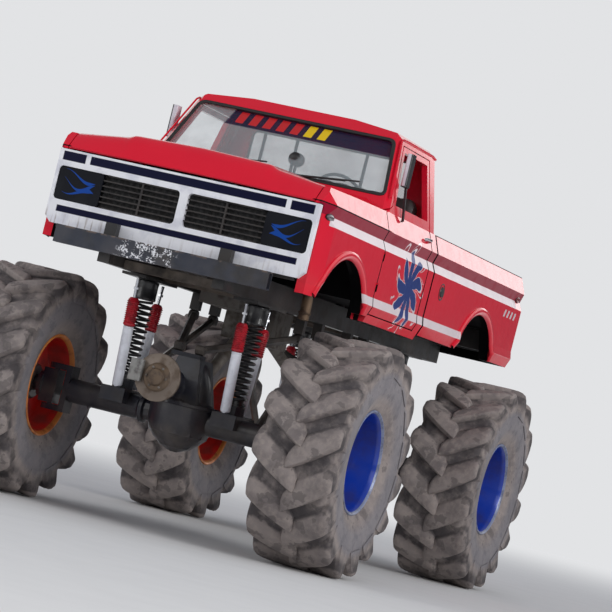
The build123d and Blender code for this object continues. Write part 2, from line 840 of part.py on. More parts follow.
front_flange_y = front_axle_y + pinion_snout_end - pinion_flange_thickness + seat_gap
rear_flange_y = rear_axle_y - pinion_snout_end + pinion_flange_thickness - seat_gap
front_output_y = front_axle_y + gearbox_tail
rear_output_y = front_axle_y + transfer_rear + 2 * seat_gap
with BuildPart() as driveshafts:
    for start_y, end_y, toward in ((front_flange_y, front_output_y, 1), (rear_flange_y, rear_output_y, -1)):
        start = (0, start_y + toward * yoke_length / 2, pinion_z)
        end = (0, end_y - toward * yoke_length / 2, output_z)
        with BuildSketch(bar_plane(start, end)):
            RegularPolygon(shaft_radius, thin_bar_sides)
        extrude(amount=(Vector(*end) - Vector(*start)).length)
        for y, z, way in ((start_y, pinion_z, toward), (end_y, output_z, -toward)):
            with BuildSketch(across(y)):
                with Locations((0, z)):
                    RegularPolygon(yoke_radius, bar_sides)
            extrude(amount=-way * yoke_length)
write(driveshafts, "driveshafts")

with BuildPart() as radiator:
    with BuildSketch(across(front_axle_y + radiator_y)):
        with Locations((0, radiator_bottom_z + radiator_height / 2)):
            Rectangle(2 * radiator_half_width, radiator_height)
    extrude(amount=radiator_thickness / 2, both=True)
write(radiator, "radiator")


# Cab: lower section and greenhouse, hollow, with door openings and windows cut
def greenhouse(inset):
    """The cab above the belt: its front view run through its side view, drawn in by a wall."""
    base_front = windshield_base_y - windshield_slope * (windshield_base_z - belt_z) + inset
    base_rear = cab_rear_y - inset
    front = roof_front_y + inset
    rear = roof_rear_y - inset
    shoulder_z = roof_edge_z + roof_shoulder_rise - inset
    top_z = roof_edge_z + roof_rise - inset
    with BuildPart() as house:
        with BuildSketch(across(base_front)):
            Polygon(
                (-belt_half_width + inset, belt_z),
                (belt_half_width - inset, belt_z),
                (roof_half_width - inset, roof_edge_z),
                (roof_shoulder_half_width - inset, shoulder_z),
                (roof_top_half_width, top_z),
                (-roof_top_half_width, top_z),
                (-roof_shoulder_half_width + inset, shoulder_z),
                (-roof_half_width + inset, roof_edge_z),
                align=None,
            )
        extrude(amount=base_front - rear)
        with BuildSketch(along(-belt_half_width)):
            Polygon(
                (base_front, belt_z),
                (front, roof_edge_z),
                (front + roof_crown_inset, top_z),
                (rear - roof_crown_inset, top_z),
                (rear, roof_edge_z),
                (base_rear, belt_z),
                align=None,
            )
        extrude(amount=2 * belt_half_width, mode=Mode.INTERSECT)
        posts = [edge for edge in house.edges() if post_edge(edge)]
        chamfer(posts, length=(post_chamfer - inset / 2))
    return house.part


def post_edge(edge):
    """Whether an edge is one of the four corner posts that lean in from the belt to the roof."""
    low, high = sorted((edge.start_point(), edge.end_point()), key=lambda point: point.Z)
    return abs(low.Z - belt_z) < 1 and abs(high.Z - roof_edge_z) < 1


with BuildPart() as cab_outer:
    with BuildSketch(across(cab_front_y)):
        Polygon(*body_section(sill_z), align=None)
    extrude(amount=cab_front_y - cab_rear_y)
    with BuildSketch(across(cab_front_y)):
        Polygon(
            (-belt_half_width + 20, cowl_edge_z - 10),
            (belt_half_width - 20, cowl_edge_z - 10),
            (cowl_shoulder_x, cowl_shoulder_z),
            (0, cowl_top_z),
            (-cowl_shoulder_x, cowl_shoulder_z),
            align=None,
        )
    extrude(amount=cab_front_y - windshield_base_y - 30)
    add(greenhouse(0))

with BuildPart() as cab_inner:
    with BuildSketch(across(cab_front_y + cab_wall)):
        with Locations((0, (cab_floor_z + cab_floor_thickness + belt_z) / 2)):
            Rectangle(2 * body_wall_x, belt_z - cab_floor_z - cab_floor_thickness)
    extrude(amount=cab_front_y - cab_rear_y + 2 * cab_wall)
    add(greenhouse(pillar_wall))

with BuildPart() as cab_shell:
    add(cab_outer.part)
    add(cab_inner.part, mode=Mode.SUBTRACT)
    with BuildSketch(across(cab_front_y)):
        with Locations((0, sill_z)):
            Rectangle(2 * sill_inner_x, 2 * (cab_floor_z - sill_z))
    extrude(amount=cab_front_y - cab_rear_y, mode=Mode.SUBTRACT)
    cowl_side_width = body_half_width - body_wall_x + panel_gap
    with BuildSketch(across(cab_front_y)):
        for side in (1, -1):
            with Locations((side * (body_wall_x - panel_gap + cowl_side_width), belt_z)):
                Rectangle(2 * cowl_side_width, belt_z)
    extrude(amount=cab_front_y - door_front_y, mode=Mode.SUBTRACT)


def door_outline(gap, rear_gap, frame_gap):
    """The door's outline in side view, drawn in by its gaps."""
    return (
        (door_front_y + gap, door_bottom_z + gap),
        (door_front_y + gap, door_belt_front_z - gap),
        (door_frame_base_y + 1.5 * gap, door_frame_base_z - gap / 2),
        (door_frame_top_y + 1.5 * gap, door_top_z - gap),
        (door_rear_y - frame_gap, door_top_z - gap),
        (door_rear_y - frame_gap, belt_z),
        (door_rear_y - rear_gap, belt_z - 60),
        (door_rear_y - rear_gap, door_bottom_z + gap),
    )


def door_block(side, outline, depth):
    """The space that a door takes: its outline through the side wall, to a depth past its inside."""
    leaning_x = belt_half_width - pillar_wall - depth
    lean = (belt_half_width - roof_half_width) * (door_top_z - belt_z) / (roof_edge_z - belt_z)
    with BuildPart() as block:
        with BuildSketch(along(side * sill_inner_x / 2)):
            Polygon(*outline, align=None)
        extrude(amount=side * (tyre_centre_x - sill_inner_x / 2))
        with BuildSketch(across(front_y)):
            Polygon(
                (side * (body_wall_x - depth), sill_z),
                (side * (body_wall_x - depth), belt_z),
                (side * leaning_x, belt_z),
                (side * (leaning_x - lean), door_top_z),
                (side * tyre_centre_x, door_top_z),
                (side * tyre_centre_x, sill_z),
                align=None,
            )
        extrude(amount=-overall_length, mode=Mode.INTERSECT)
    return block.part


window_outline = (
    (door_frame_base_y + 75, door_window_bottom_z),
    (door_frame_top_y + 30, door_top_z - door_frame_width),
    (door_rear_y - door_frame_rear_gap - door_frame_width, door_top_z - door_frame_width),
    (door_rear_y - door_frame_rear_gap - door_frame_width, door_window_bottom_z),
)

with BuildPart() as cab:
    add(cab_shell.part)
    for side in (1, -1):
        add(door_block(side, door_outline(0, 0, 0), panel_gap), mode=Mode.SUBTRACT)
    with BuildSketch(across(roof_front_y + 2 * pillar_wall)):
        Polygon(
            (-windshield_half_bottom, windshield_bottom_z),
            (windshield_half_bottom, windshield_bottom_z),
            (windshield_half_top, windshield_top_z),
            (-windshield_half_top, windshield_top_z),
            align=None,
        )
    extrude(amount=roof_front_y - cab_front_y + 4 * cab_wall, mode=Mode.SUBTRACT)
    with BuildSketch(across(roof_rear_y + cab_wall)):
        with Locations((0, (rear_window_bottom_z + rear_window_top_z) / 2)):
            RectangleRounded(2 * rear_window_half, rear_window_top_z - rear_window_bottom_z, rear_window_corner)
    extrude(amount=4 * cab_wall, mode=Mode.SUBTRACT)
    for side in (1, -1):
        for ear_side in (1, -1):
            ear_x = side * hood_hinge_x + ear_side * (hood_barrel_length / 2 + seat_gap)
            with BuildSketch(along(ear_x)):
                with Locations((hood_hinge_y, hood_hinge_z - hood_ear_width)):
                    Rectangle(hood_ear_width - 4, 2 * hood_ear_width)
                with Locations((hood_hinge_y, hood_hinge_z)):
                    Circle(hood_ear_width / 2 - 2)
                    Circle(hood_pin_radius + spindle_clearance, mode=Mode.SUBTRACT)
            extrude(amount=ear_side * hood_ear_thickness)
write(cab, "cab")

for place, side in (("left", 1), ("right", -1)):
    with BuildPart() as door:
        outline = door_outline(panel_gap, door_rear_gap, door_frame_rear_gap)
        add(cab_shell.part)
        add(door_block(side, outline, -2 * seat_gap), mode=Mode.INTERSECT)
        with BuildSketch(Plane.YZ):
            Polygon(*window_outline, align=None)
        extrude(amount=side * tyre_centre_x, mode=Mode.SUBTRACT)
        for hinge_z in door_hinge_zs:
            barrel_top_z = hinge_z + door_barrel_length / 2
            with BuildSketch(Plane.XY.offset(barrel_top_z)):
                with Locations((side * door_hinge_x, door_hinge_y)):
                    Rectangle(2 * door_notch, 2 * door_notch)
            extrude(amount=door_notch, mode=Mode.SUBTRACT)
            with BuildSketch(Plane.XY.offset(barrel_top_z - door_barrel_length)):
                with Locations((side * door_hinge_x, door_hinge_y)):
                    RegularPolygon(door_barrel_radius, thin_bar_sides)
                with Locations((side * (door_hinge_x - door_leaf_depth / 2), door_hinge_y)):
                    Rectangle(door_leaf_depth, 2 * door_barrel_radius)
            extrude(amount=door_barrel_length)
            with BuildSketch(Plane.XY.offset(hinge_z)):
                with Locations((side * door_hinge_x, door_hinge_y)):
                    Circle(door_pin_radius)
            extrude(amount=door_barrel_length / 2 + door_ear_height + seat_gap)
    write(door, f"door_{place}")

# Window glass, set in the middle of the cab's and the doors' walls
glass_clearance = 3
with BuildPart() as windshield:
    glass_foot_y = windshield_base_y + windshield_slope * (windshield_bottom_z - windshield_base_z) + pillar_wall / 2
    glass_head_y = windshield_base_y + windshield_slope * (windshield_top_z - windshield_base_z) + pillar_wall / 2
    with BuildSketch(along(-windshield_half_bottom)):
        Polygon(
            (glass_foot_y, windshield_bottom_z + glass_clearance / 10),
            (glass_foot_y + glass_thickness, windshield_bottom_z + glass_clearance / 10),
            (glass_head_y + glass_thickness, windshield_top_z - glass_clearance / 10),
            (glass_head_y, windshield_top_z - glass_clearance / 10),
            align=None,
        )
    extrude(amount=2 * windshield_half_bottom)
    with BuildSketch(across(roof_rear_y)):
        Polygon(
            (-windshield_half_bottom + glass_clearance, windshield_bottom_z),
            (windshield_half_bottom - glass_clearance, windshield_bottom_z),
            (windshield_half_top - glass_clearance, windshield_top_z),
            (-windshield_half_top + glass_clearance, windshield_top_z),
            align=None,
        )
    extrude(amount=overall_length, mode=Mode.INTERSECT)
write(windshield, "windshield")

with BuildPart() as rear_window:
    with BuildSketch(across(cab_rear_y)):
        with Locations((0, (rear_window_bottom_z + rear_window_top_z) / 2)):
            window_height = rear_window_top_z - rear_window_bottom_z - 2 * seat_gap
            RectangleRounded(2 * (rear_window_half - seat_gap), window_height, rear_window_corner)
    extrude(amount=glass_thickness)
write(rear_window, "rear_window")

# Seat, dashboard and steering wheel behind the glass
cab_floor_top_z = cab_floor_z + cab_floor_thickness
seat_rear_y = cab_rear_y - cab_wall - 12
with BuildPart() as seat:
    with BuildSketch(along(-body_wall_x + 110)):
        Polygon(
            (seat_rear_y - 620, cab_floor_top_z + seat_gap),
            (seat_rear_y - 640, cab_floor_top_z + 330),
            (seat_rear_y - 190, cab_floor_top_z + 300),
            (seat_rear_y - 110, cab_floor_top_z + 860),
            (seat_rear_y, cab_floor_top_z + 860),
            (seat_rear_y - 60, cab_floor_top_z + seat_gap),
            align=None,
        )
    extrude(amount=2 * body_wall_x - 220)
write(seat, "seat")

dash_front_y = cab_front_y + cab_wall + seat_gap
wheel_x = 400
wheel_lean = 32
wheel_radius = 205
wheel_grip = 26
wheel_hub_radius = 45
wheel_spoke_width = 34
column_radius = 24
column_start = 60
column_foot = (wheel_x, dash_front_y + 300, 2470)
column_run = Vector(0, cos(radians(wheel_lean)), sin(radians(wheel_lean)))
column_plane = Plane(origin=column_foot, x_dir=(1, 0, 0), z_dir=column_run)
dash_half_width = body_wall_x - 40
with BuildPart() as dashboard:
    with BuildSketch(along(-dash_half_width)):
        Polygon(
            (dash_front_y, 2330),
            (dash_front_y, 2540),
            (dash_front_y + 100, 2540),
            (dash_front_y + 155, 2600),
            (dash_front_y + 330, 2600),
            (dash_front_y + 380, 2560),
            (dash_front_y + 320, 2330),
            align=None,
        )
    extrude(amount=2 * dash_half_width)
    with BuildSketch(column_plane.offset(column_start)):
        Circle(column_radius + seat_gap)
    extrude(amount=wheel_radius, mode=Mode.SUBTRACT)
write(dashboard, "dashboard")

with BuildPart() as steering_wheel:
    with BuildSketch(column_plane.offset(column_start + seat_gap)):
        RegularPolygon(column_radius, bar_sides)
    extrude(amount=170)
    with BuildSketch(column_plane.offset(225)):
        RegularPolygon(wheel_hub_radius, bar_sides)
        Rectangle(2 * wheel_radius - wheel_grip, wheel_spoke_width)
    extrude(amount=16)
    with BuildSketch(column_plane.offset(220)):
        RegularPolygon(wheel_radius, disc_sides)
        RegularPolygon(wheel_radius - wheel_grip, disc_sides, mode=Mode.SUBTRACT)
    extrude(amount=wheel_grip)
write(steering_wheel, "steering_wheel")

# Mirrors on the doors, each a tall head on a stalk that stands on the door's shoulder
shoulder_low_x, shoulder_low_z = side_section[-2]
shoulder_share = (mirror_foot_z - mirror_stalk_radius - shoulder_low_z) / (belt_z - shoulder_low_z)
mirror_foot_x = shoulder_low_x + (belt_half_width - shoulder_low_x) * shoulder_share + seat_gap
stalk_foot = (mirror_stalk_x, mirror_y, mirror_foot_z)
stalk_head = (mirror_x, mirror_y, mirror_z - mirror_height / 4)
stalk_length = (Vector(*stalk_head) - Vector(*stalk_foot)).length
for place, side in (("left", 1), ("right", -1)):
    with BuildPart() as mirror_piece:
        with BuildSketch(along(mirror_foot_x)):
            with Locations((mirror_y, mirror_foot_z)):
                Rectangle(1.5 * mirror_stalk_radius, 1.5 * mirror_stalk_radius)
        extrude(amount=mirror_stalk_x - mirror_foot_x)
        with BuildSketch(bar_plane(stalk_foot, stalk_head)):
            Rectangle(2 * mirror_stalk_radius, 2 * mirror_stalk_radius)
        extrude(amount=stalk_length)
        with BuildSketch(Plane.XY.offset(mirror_z - mirror_height / 2)):
            with Locations((mirror_x, mirror_y)):
                RectangleRounded(mirror_width, mirror_depth, mirror_width / 3)
        extrude(amount=mirror_height)
        if side < 0:
            mirror(about=Plane.YZ, mode=Mode.REPLACE)
    write(mirror_piece, f"mirror_{place}")

# Fenders: the side section cut to the fender's side view, plan taper and wheel arch
front_arch_y = front_axle_y + front_arch_shift
fender_front_y = grille_face_y + grille_panel_depth + 4
fender_tip_y = front_axle_y - 763
fender_tip_gap = 5
for place, side in (("left", 1), ("right", -1)):
    with BuildPart() as fender:
        with BuildSketch(across(fender_tip_y)):
            Polygon(*body_section(bed_sill_z), align=None)
            with Locations((0, sill_z)):
                Rectangle(2 * body_wall_x, 4 * (belt_z - sill_z), mode=Mode.SUBTRACT)
        extrude(amount=fender_tip_y - door_front_y)
        with BuildSketch(along(0)):
            Polygon(
                (fender_front_y, sill_z),
                (fender_front_y, grille_top_z + fender_tip_gap),
                (fender_tip_y, grille_top_z + fender_tip_gap),
                (fender_tip_y, 2414),
                (front_axle_y - 660, 2517),
                (front_axle_y - 100, 2531),
                (door_front_y, belt_z - 2),
                (door_front_y, sill_z),
                align=None,
            )
            with Locations((front_arch_y, front_arch_centre_z)):
                Circle(front_arch_radius, mode=Mode.SUBTRACT)
        extrude(amount=tyre_centre_x, mode=Mode.INTERSECT)
        with BuildSketch(along(0)):
            Polygon(
                (front_y, 2230),
                (front_axle_y - 660, 2480),
                (front_axle_y - 100, 2494),
                (cab_front_y, 2504),
                (cab_front_y, 2 * belt_z),
                (front_y, 2 * belt_z),
                align=None,
            )
        extrude(amount=hood_half_width + panel_gap, mode=Mode.SUBTRACT)
        with BuildSketch(Plane.XY.offset(sill_z)):
            Polygon(
                (0, fender_tip_y),
                (954, fender_tip_y),
                (1002, front_axle_y - 520),
                (body_half_width + 2, front_axle_y - 300),
                (body_half_width + 2, door_front_y),
                (0, door_front_y),
                align=None,
            )
        extrude(amount=belt_z, mode=Mode.INTERSECT)
        for hinge_z in door_hinge_zs:
            with BuildSketch(Plane.XY.offset(hinge_z + door_barrel_length / 2 + seat_gap)):
                with Locations((door_hinge_x, (door_hinge_y + door_front_y - panel_gap) / 2)):
                    Rectangle(2 * door_barrel_radius, door_hinge_y - door_front_y + panel_gap)
                with Locations((door_hinge_x, door_hinge_y)):
                    Circle(door_barrel_radius)
                    Circle(door_pin_radius + spindle_clearance, mode=Mode.SUBTRACT)
            extrude(amount=door_ear_height)
        if side < 0:
            mirror(about=Plane.YZ, mode=Mode.REPLACE)
    write(fender, f"fender_{place}")

# Hood: a thin crowned panel of flat facets through its stations
half_widths = (hood_half_width, bulge_edge_x, bulge_top_x, 0)
hood_rings = []
for run, *heights in hood_stations:
    right = [(x, z) for x, z in zip(half_widths, heights)]
    top = right + [(-x, z) for x, z in reversed(right[:-1])]
    lip = hood_lip if run == hood_stations[0][0] else hood_thickness
    section = top + [(x, z - lip) for x, z in reversed(top)]
    hood_rings.append([Vector(x, front_axle_y + run, z) for x, z in section])
hood_faces = []
strip_count = len(half_widths) * 2 - 2
for ring in (hood_rings[0], hood_rings[-1]):
    for number in range(strip_count):
        corners = (ring[number], ring[number + 1], ring[-2 - number], ring[-1 - number])
        hood_faces.append(Face(Wire.make_polygon(corners, close=True)))
for ring, after in zip(hood_rings, hood_rings[1:]):
    for number, corner in enumerate(ring):
        follow = (number + 1) % len(ring)
        for corners in ((corner, ring[follow], after[follow]), (corner, after[follow], after[number])):
            hood_faces.append(Face(Wire.make_polygon(corners, close=True)))
with BuildPart() as hood:
    add(Solid(Shell(hood_faces)))
    for hinge_x in (-hood_hinge_x, hood_hinge_x):
        with BuildSketch(along(hinge_x)):
            with Locations(((hood_rear_y + hood_hinge_y) / 2 - 2, hood_hinge_z - 6)):
                Rectangle(hood_hinge_y - hood_rear_y + 4, 12)
            with Locations((hood_hinge_y, hood_hinge_z)):
                RegularPolygon(hood_barrel_radius, thin_bar_sides)
        extrude(amount=hood_barrel_length / 2, both=True)
        with BuildSketch(along(hinge_x)):
            with Locations((hood_hinge_y, hood_hinge_z)):
                Circle(hood_pin_radius)
        extrude(amount=hood_barrel_length / 2 + seat_gap + hood_ear_thickness, both=True)
write(hood, "hood")

# Front end: grille panel, bars, lamp covers, support, bumper and its brackets
opening_height = grille_opening_top_z - grille_opening_bottom_z
opening_z = (grille_opening_top_z + grille_opening_bottom_z) / 2
opening_width = grille_opening_outer_x - grille_centre_bar / 2
opening_x = (grille_opening_outer_x + grille_centre_bar / 2) / 2
with BuildPart() as grille_surround:
    with BuildSketch(across(grille_face_y)) as panel:
        with Locations((0, (grille_bottom_z + grille_top_z) / 2)):
            Rectangle(2 * grille_half_width, grille_top_z - grille_bottom_z)
        low_corners = [corner for corner in panel.vertices() if corner.Y < grille_bottom_z + 1]
        chamfer(low_corners, length=grille_corner_chamfer)
        with Locations((opening_x, opening_z), (-opening_x, opening_z)):
            RectangleRounded(opening_width, opening_height, grille_opening_radius, mode=Mode.SUBTRACT)
    extrude(amount=-grille_panel_depth)
write(grille_surround, "grille_surround")

bars_inner_x = grille_centre_bar / 2 + seat_gap
bars_outer_x = lamp_cover_inner_x - seat_gap
bars_width = bars_outer_x - bars_inner_x
with BuildPart() as grille_bars:
    with BuildSketch(across(grille_face_y + 14)):
        for side in (1, -1):
            bar_x = side * (bars_inner_x + bars_outer_x) / 2
            for number in range(grille_bar_count):
                share = number / (grille_bar_count - 1)
                bar_z = opening_z + (share - 0.5) * (opening_height - grille_bar_height - 2 * seat_gap)
                with Locations((bar_x, bar_z)):
                    Rectangle(bars_width - 60 * (share in (0, 1)), grille_bar_height)
            with Locations((side * grille_strut_x, opening_z)):
                Rectangle(grille_strut_width, opening_height - 2 * seat_gap)
    extrude(amount=-grille_bar_depth)
write(grille_bars, "grille_bars")

cover_width = grille_opening_outer_x - lamp_cover_inner_x - 2 * seat_gap
with BuildPart() as lamp_covers:
    with BuildSketch(across(grille_face_y + 10)):
        cover_x = (grille_opening_outer_x + lamp_cover_inner_x) / 2
        with Locations((cover_x, opening_z), (-cover_x, opening_z)):
            RectangleRounded(cover_width, opening_height - 2 * seat_gap, grille_opening_radius)
    extrude(amount=-lamp_cover_thickness)
write(lamp_covers, "lamp_covers")

support_y = grille_face_y + grille_panel_depth + seat_gap
support_half = body_wall_x - 18
with BuildPart() as radiator_support:
    with BuildSketch(across(support_y)):
        with Locations((0, (rail_top_z + 2390) / 2)):
            Rectangle(2 * support_half, 2390 - rail_top_z - 2 * seat_gap)
            Rectangle(2 * support_half - 120, 2390 - rail_top_z - 120, mode=Mode.SUBTRACT)
    extrude(amount=-support_thickness)
write(radiator_support, "radiator_support")

with BuildPart() as front_bumper:
    with BuildSketch(along(-bumper_half_width)):
        with Locations((front_y + bumper_depth / 2, bumper_bottom_z + bumper_height / 2)):
            Rectangle(bumper_depth, bumper_height)
            Rectangle(bumper_depth - 2 * bumper_wall, bumper_height - 2 * bumper_wall, mode=Mode.SUBTRACT)
    extrude(amount=2 * bumper_half_width)
write(front_bumper, "front_bumper")

with BuildPart() as bumper_brackets:
    with BuildSketch(across(front_y + bumper_depth + seat_gap)):
        bracket_z = (rail_bottom_z + bracket_top_z) / 2
        with Locations((bracket_x, bracket_z), (-bracket_x, bracket_z)):
            Rectangle(bracket_width, bracket_top_z - rail_bottom_z)
    extrude(amount=-(rail_front_y - front_y - bumper_depth - 2 * seat_gap))
write(bumper_brackets, "bumper_brackets")

# Bed: outer section over the whole length, cargo box, open underside, arches and wheelhouses
with BuildPart() as bed:
    with BuildSketch(across(bed_front_y)):
        Polygon(*body_section(bed_sill_z), align=None)
    extrude(amount=bed_front_y - bed_rear_y)
    with BuildSketch(across(bed_front_y + bed_front_wall)):
        with Locations((0, bed_floor_z + belt_z / 2)):
            Rectangle(2 * bed_inner_half, belt_z)
    extrude(amount=bed_front_y + bed_front_wall - bed_rear_y + bed_post_depth, mode=Mode.SUBTRACT)
    with BuildSketch(across(bed_rear_y - bed_post_depth)):
        with Locations((0, tailgate_bottom_z - tailgate_sill_gap + belt_z / 2)):
            Rectangle(2 * (tailgate_half_width + panel_gap), belt_z)
    extrude(amount=-bed_post_depth, mode=Mode.SUBTRACT)
    with BuildSketch(along(-tailgate_half_width - panel_gap - tailgate_pin_length - seat_gap)):
        with Locations((tailgate_hinge_y, tailgate_hinge_z)):
            Circle(tailgate_pin_radius + spindle_clearance)
    extrude(amount=2 * (tailgate_half_width + panel_gap + tailgate_pin_length + seat_gap), mode=Mode.SUBTRACT)
    with BuildSketch(across(bed_front_y)):
        with Locations((0, bed_floor_z - bed_floor_thickness - belt_z / 2)):
            Rectangle(2 * body_wall_x, belt_z)
    extrude(amount=bed_front_y - bed_rear_y + bed_post_depth, mode=Mode.SUBTRACT)
    for side in (1, -1):
        with BuildSketch(along(side * wheelhouse_half_gap)):
            with Locations((rear_axle_y, arch_centre_z)):
                Circle(arch_radius + wheelhouse_wall)
            with Locations((rear_axle_y, bed_floor_z - bed_floor_thickness - belt_z / 2)):
                Rectangle(4 * arch_radius, belt_z, mode=Mode.SUBTRACT)
        extrude(amount=side * (body_wall_x + 10 - wheelhouse_half_gap))
        with BuildSketch(along(side * (wheelhouse_half_gap + wheelhouse_wall))):
            with Locations((rear_axle_y, arch_centre_z)):
                Circle(arch_radius)
        extrude(amount=side * tyre_centre_x, mode=Mode.SUBTRACT)
    with BuildSketch(across(bed_rear_y)):
        with Locations((tail_lamp_x, tail_lamp_z), (-tail_lamp_x, tail_lamp_z)):
            Rectangle(tail_lamp_width, tail_lamp_height)
    extrude(amount=tail_lamp_depth, mode=Mode.SUBTRACT)
    with BuildSketch(Plane.XY.offset(bed_floor_z)):
        groove_pitch = 2 * wheelhouse_half_gap / (floor_groove_count + 1)
        groove_run = bed_rear_y - bed_post_depth - bed_front_y - bed_front_wall - 2 * floor_groove_margin
        groove_y = (bed_rear_y - bed_post_depth + bed_front_y + bed_front_wall) / 2
        for number in range(floor_groove_count):
            groove_x = (number - (floor_groove_count - 1) / 2) * groove_pitch
            with Locations((groove_x, groove_y)):
                Rectangle(floor_groove_width, groove_run)
    extrude(amount=-floor_groove_depth, mode=Mode.SUBTRACT)
write(bed, "bed")

bed_sill_ys = (2150, 2720, 3980, 4280)
with BuildPart() as bed_sills:
    for run in bed_sill_ys:
        with BuildSketch(along(-body_wall_x + seat_gap)):
            with Locations((front_axle_y + run, (rail_top_z + bed_floor_z - bed_floor_thickness) / 2)):
                Rectangle(bed_sill_width, bed_floor_z - bed_floor_thickness - rail_top_z - 2 * seat_gap)
        extrude(amount=2 * (body_wall_x - seat_gap))
write(bed_sills, "bed_sills")

cab_mount_ys = (700, 1700)
with BuildPart() as cab_mounts:
    with BuildSketch(Plane.XY.offset(rail_top_z + seat_gap)):
        for run in cab_mount_ys:
            with Locations((rail_x, front_axle_y + run), (-rail_x, front_axle_y + run)):
                RegularPolygon(rail_width / 2, bar_sides)
    extrude(amount=cab_floor_z - rail_top_z - 2 * seat_gap)
write(cab_mounts, "cab_mounts")

with BuildPart() as tailgate:
    with BuildSketch(across(bed_rear_y - 5)):
        with Locations((0, (tailgate_bottom_z + tailgate_top_z) / 2)):
            Rectangle(2 * tailgate_half_width, tailgate_top_z - tailgate_bottom_z)
    extrude(amount=tailgate_thickness)
    for side in (1, -1):
        with BuildSketch(along(side * (tailgate_half_width - 60))):
            with Locations((tailgate_hinge_y, tailgate_hinge_z)):
                Circle(tailgate_pin_radius)
            with Locations((tailgate_hinge_y, (tailgate_hinge_z + tailgate_bottom_z) / 2)):
                Rectangle(2 * tailgate_pin_radius, tailgate_bottom_z - tailgate_hinge_z)
        extrude(amount=side * 60)
        with BuildSketch(along(side * (tailgate_half_width - 60))):
            with Locations((tailgate_hinge_y, tailgate_hinge_z)):
                Circle(tailgate_pin_radius)
        extrude(amount=side * (60 + panel_gap + tailgate_pin_length))
write(tailgate, "tailgate")

# Lamps in the rear posts, and the towing plate
with BuildPart() as tail_lamps:
    with BuildSketch(across(bed_rear_y)):
        with Locations((tail_lamp_x, tail_lamp_z), (-tail_lamp_x, tail_lamp_z)):
            fit = 2 * seat_gap
            Rectangle(tail_lamp_width - fit, tail_lamp_height - fit)
    extrude(amount=tail_lamp_depth - seat_gap)
write(tail_lamps, "tail_lamps")

with BuildPart() as tow_plate:
    with BuildSketch(Plane.XY.offset(tow_plate_z - tow_plate_thickness / 2)):
        with Locations((0, rail_rear_y + seat_gap + tow_plate_length / 2)):
            Rectangle(tow_plate_width, tow_plate_length)
        with Locations((0, rail_rear_y + seat_gap + tow_plate_length - tow_bore_setback)):
            Circle(tow_bore_radius, mode=Mode.SUBTRACT)
    extrude(amount=tow_plate_thickness)
write(tow_plate, "tow_plate")
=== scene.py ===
# %% [markdown]
# # A pickup on farm tyres
# A red regular-cab pickup sits high over two heavy axles, on tractor wheels 1.6 m across. The frame
# below comes from CAD: each rigid piece is already there at its real size, in metres, with +X to the
# truck's left and +Y to the tail. This notebook gives the pieces their finishes, and builds the
# rounded rubber, wire and trim that flat-sided CAD leaves plain.

# %% Load the frame and keep its box
import math
from math import cos, pi, radians, sin

import bmesh
import bpy
from mathutils import Matrix, Vector


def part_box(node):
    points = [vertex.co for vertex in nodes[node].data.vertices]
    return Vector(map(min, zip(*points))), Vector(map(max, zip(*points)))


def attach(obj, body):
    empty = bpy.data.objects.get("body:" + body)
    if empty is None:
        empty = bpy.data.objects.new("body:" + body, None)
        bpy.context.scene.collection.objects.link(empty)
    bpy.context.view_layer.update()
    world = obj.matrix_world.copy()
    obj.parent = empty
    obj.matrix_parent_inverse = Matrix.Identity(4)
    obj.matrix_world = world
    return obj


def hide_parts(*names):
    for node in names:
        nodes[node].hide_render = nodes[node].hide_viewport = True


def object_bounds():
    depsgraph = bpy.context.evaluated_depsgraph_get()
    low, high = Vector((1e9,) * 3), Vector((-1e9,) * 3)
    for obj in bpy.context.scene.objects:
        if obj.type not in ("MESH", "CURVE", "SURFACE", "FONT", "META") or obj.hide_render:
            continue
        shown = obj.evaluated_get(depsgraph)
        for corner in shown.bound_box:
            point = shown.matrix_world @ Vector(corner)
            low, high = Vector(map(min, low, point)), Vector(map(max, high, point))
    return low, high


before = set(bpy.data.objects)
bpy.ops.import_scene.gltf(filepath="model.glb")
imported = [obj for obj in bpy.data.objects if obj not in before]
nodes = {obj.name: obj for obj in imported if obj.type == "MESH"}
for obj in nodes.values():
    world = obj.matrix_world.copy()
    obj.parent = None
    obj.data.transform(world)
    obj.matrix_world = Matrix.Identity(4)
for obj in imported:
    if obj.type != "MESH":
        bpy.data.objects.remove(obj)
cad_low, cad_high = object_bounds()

print("box of the solids", [round(v, 3) for v in (*cad_low, *cad_high)])

# %% Places that the rest is measured from
wheel_centres = {}
for name in ("front_left", "front_right", "rear_left", "rear_right"):
    low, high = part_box("tyre_" + name)
    wheel_centres[name] = (low + high) / 2
front_axle_y, axle_z = wheel_centres["front_left"].yz
rear_axle_y, tail_y = wheel_centres["rear_left"].y, cad_high.y
print("axles at", round(front_axle_y, 3), round(rear_axle_y, 3), "and at height", round(axle_z, 3))


def at(x, run, z):
    """A place, with its run behind the front axle in place of its y."""
    return Vector((x, front_axle_y + run, z))


def add_object(name, data):
    """Puts a new object into the scene."""
    made = bpy.data.objects.new(name, data)
    bpy.context.collection.objects.link(made)
    return made


# %% [markdown]
# ## Camera
# A long lens close to the ground looks at the truck's left front corner, and the frame leans over with
# the photographer. The camera's axes are worked out from three angles and set as one matrix, which is
# easier to keep exact than a chain of rotations.

# %% Camera
camera_place = Vector((7.3367, -20.3927, 1.0345))
yaw, pitch, roll = radians(19.4859), radians(2.0574), radians(13.7567)
forward = Vector((-sin(yaw) * cos(pitch), cos(yaw) * cos(pitch), sin(pitch)))
level = Vector((cos(yaw), sin(yaw), 0))
upright = level.cross(forward)
right = level * cos(roll) + upright * sin(roll)
up = upright * cos(roll) - level * sin(roll)
axes = Matrix((right, up, -forward)).transposed().to_4x4()

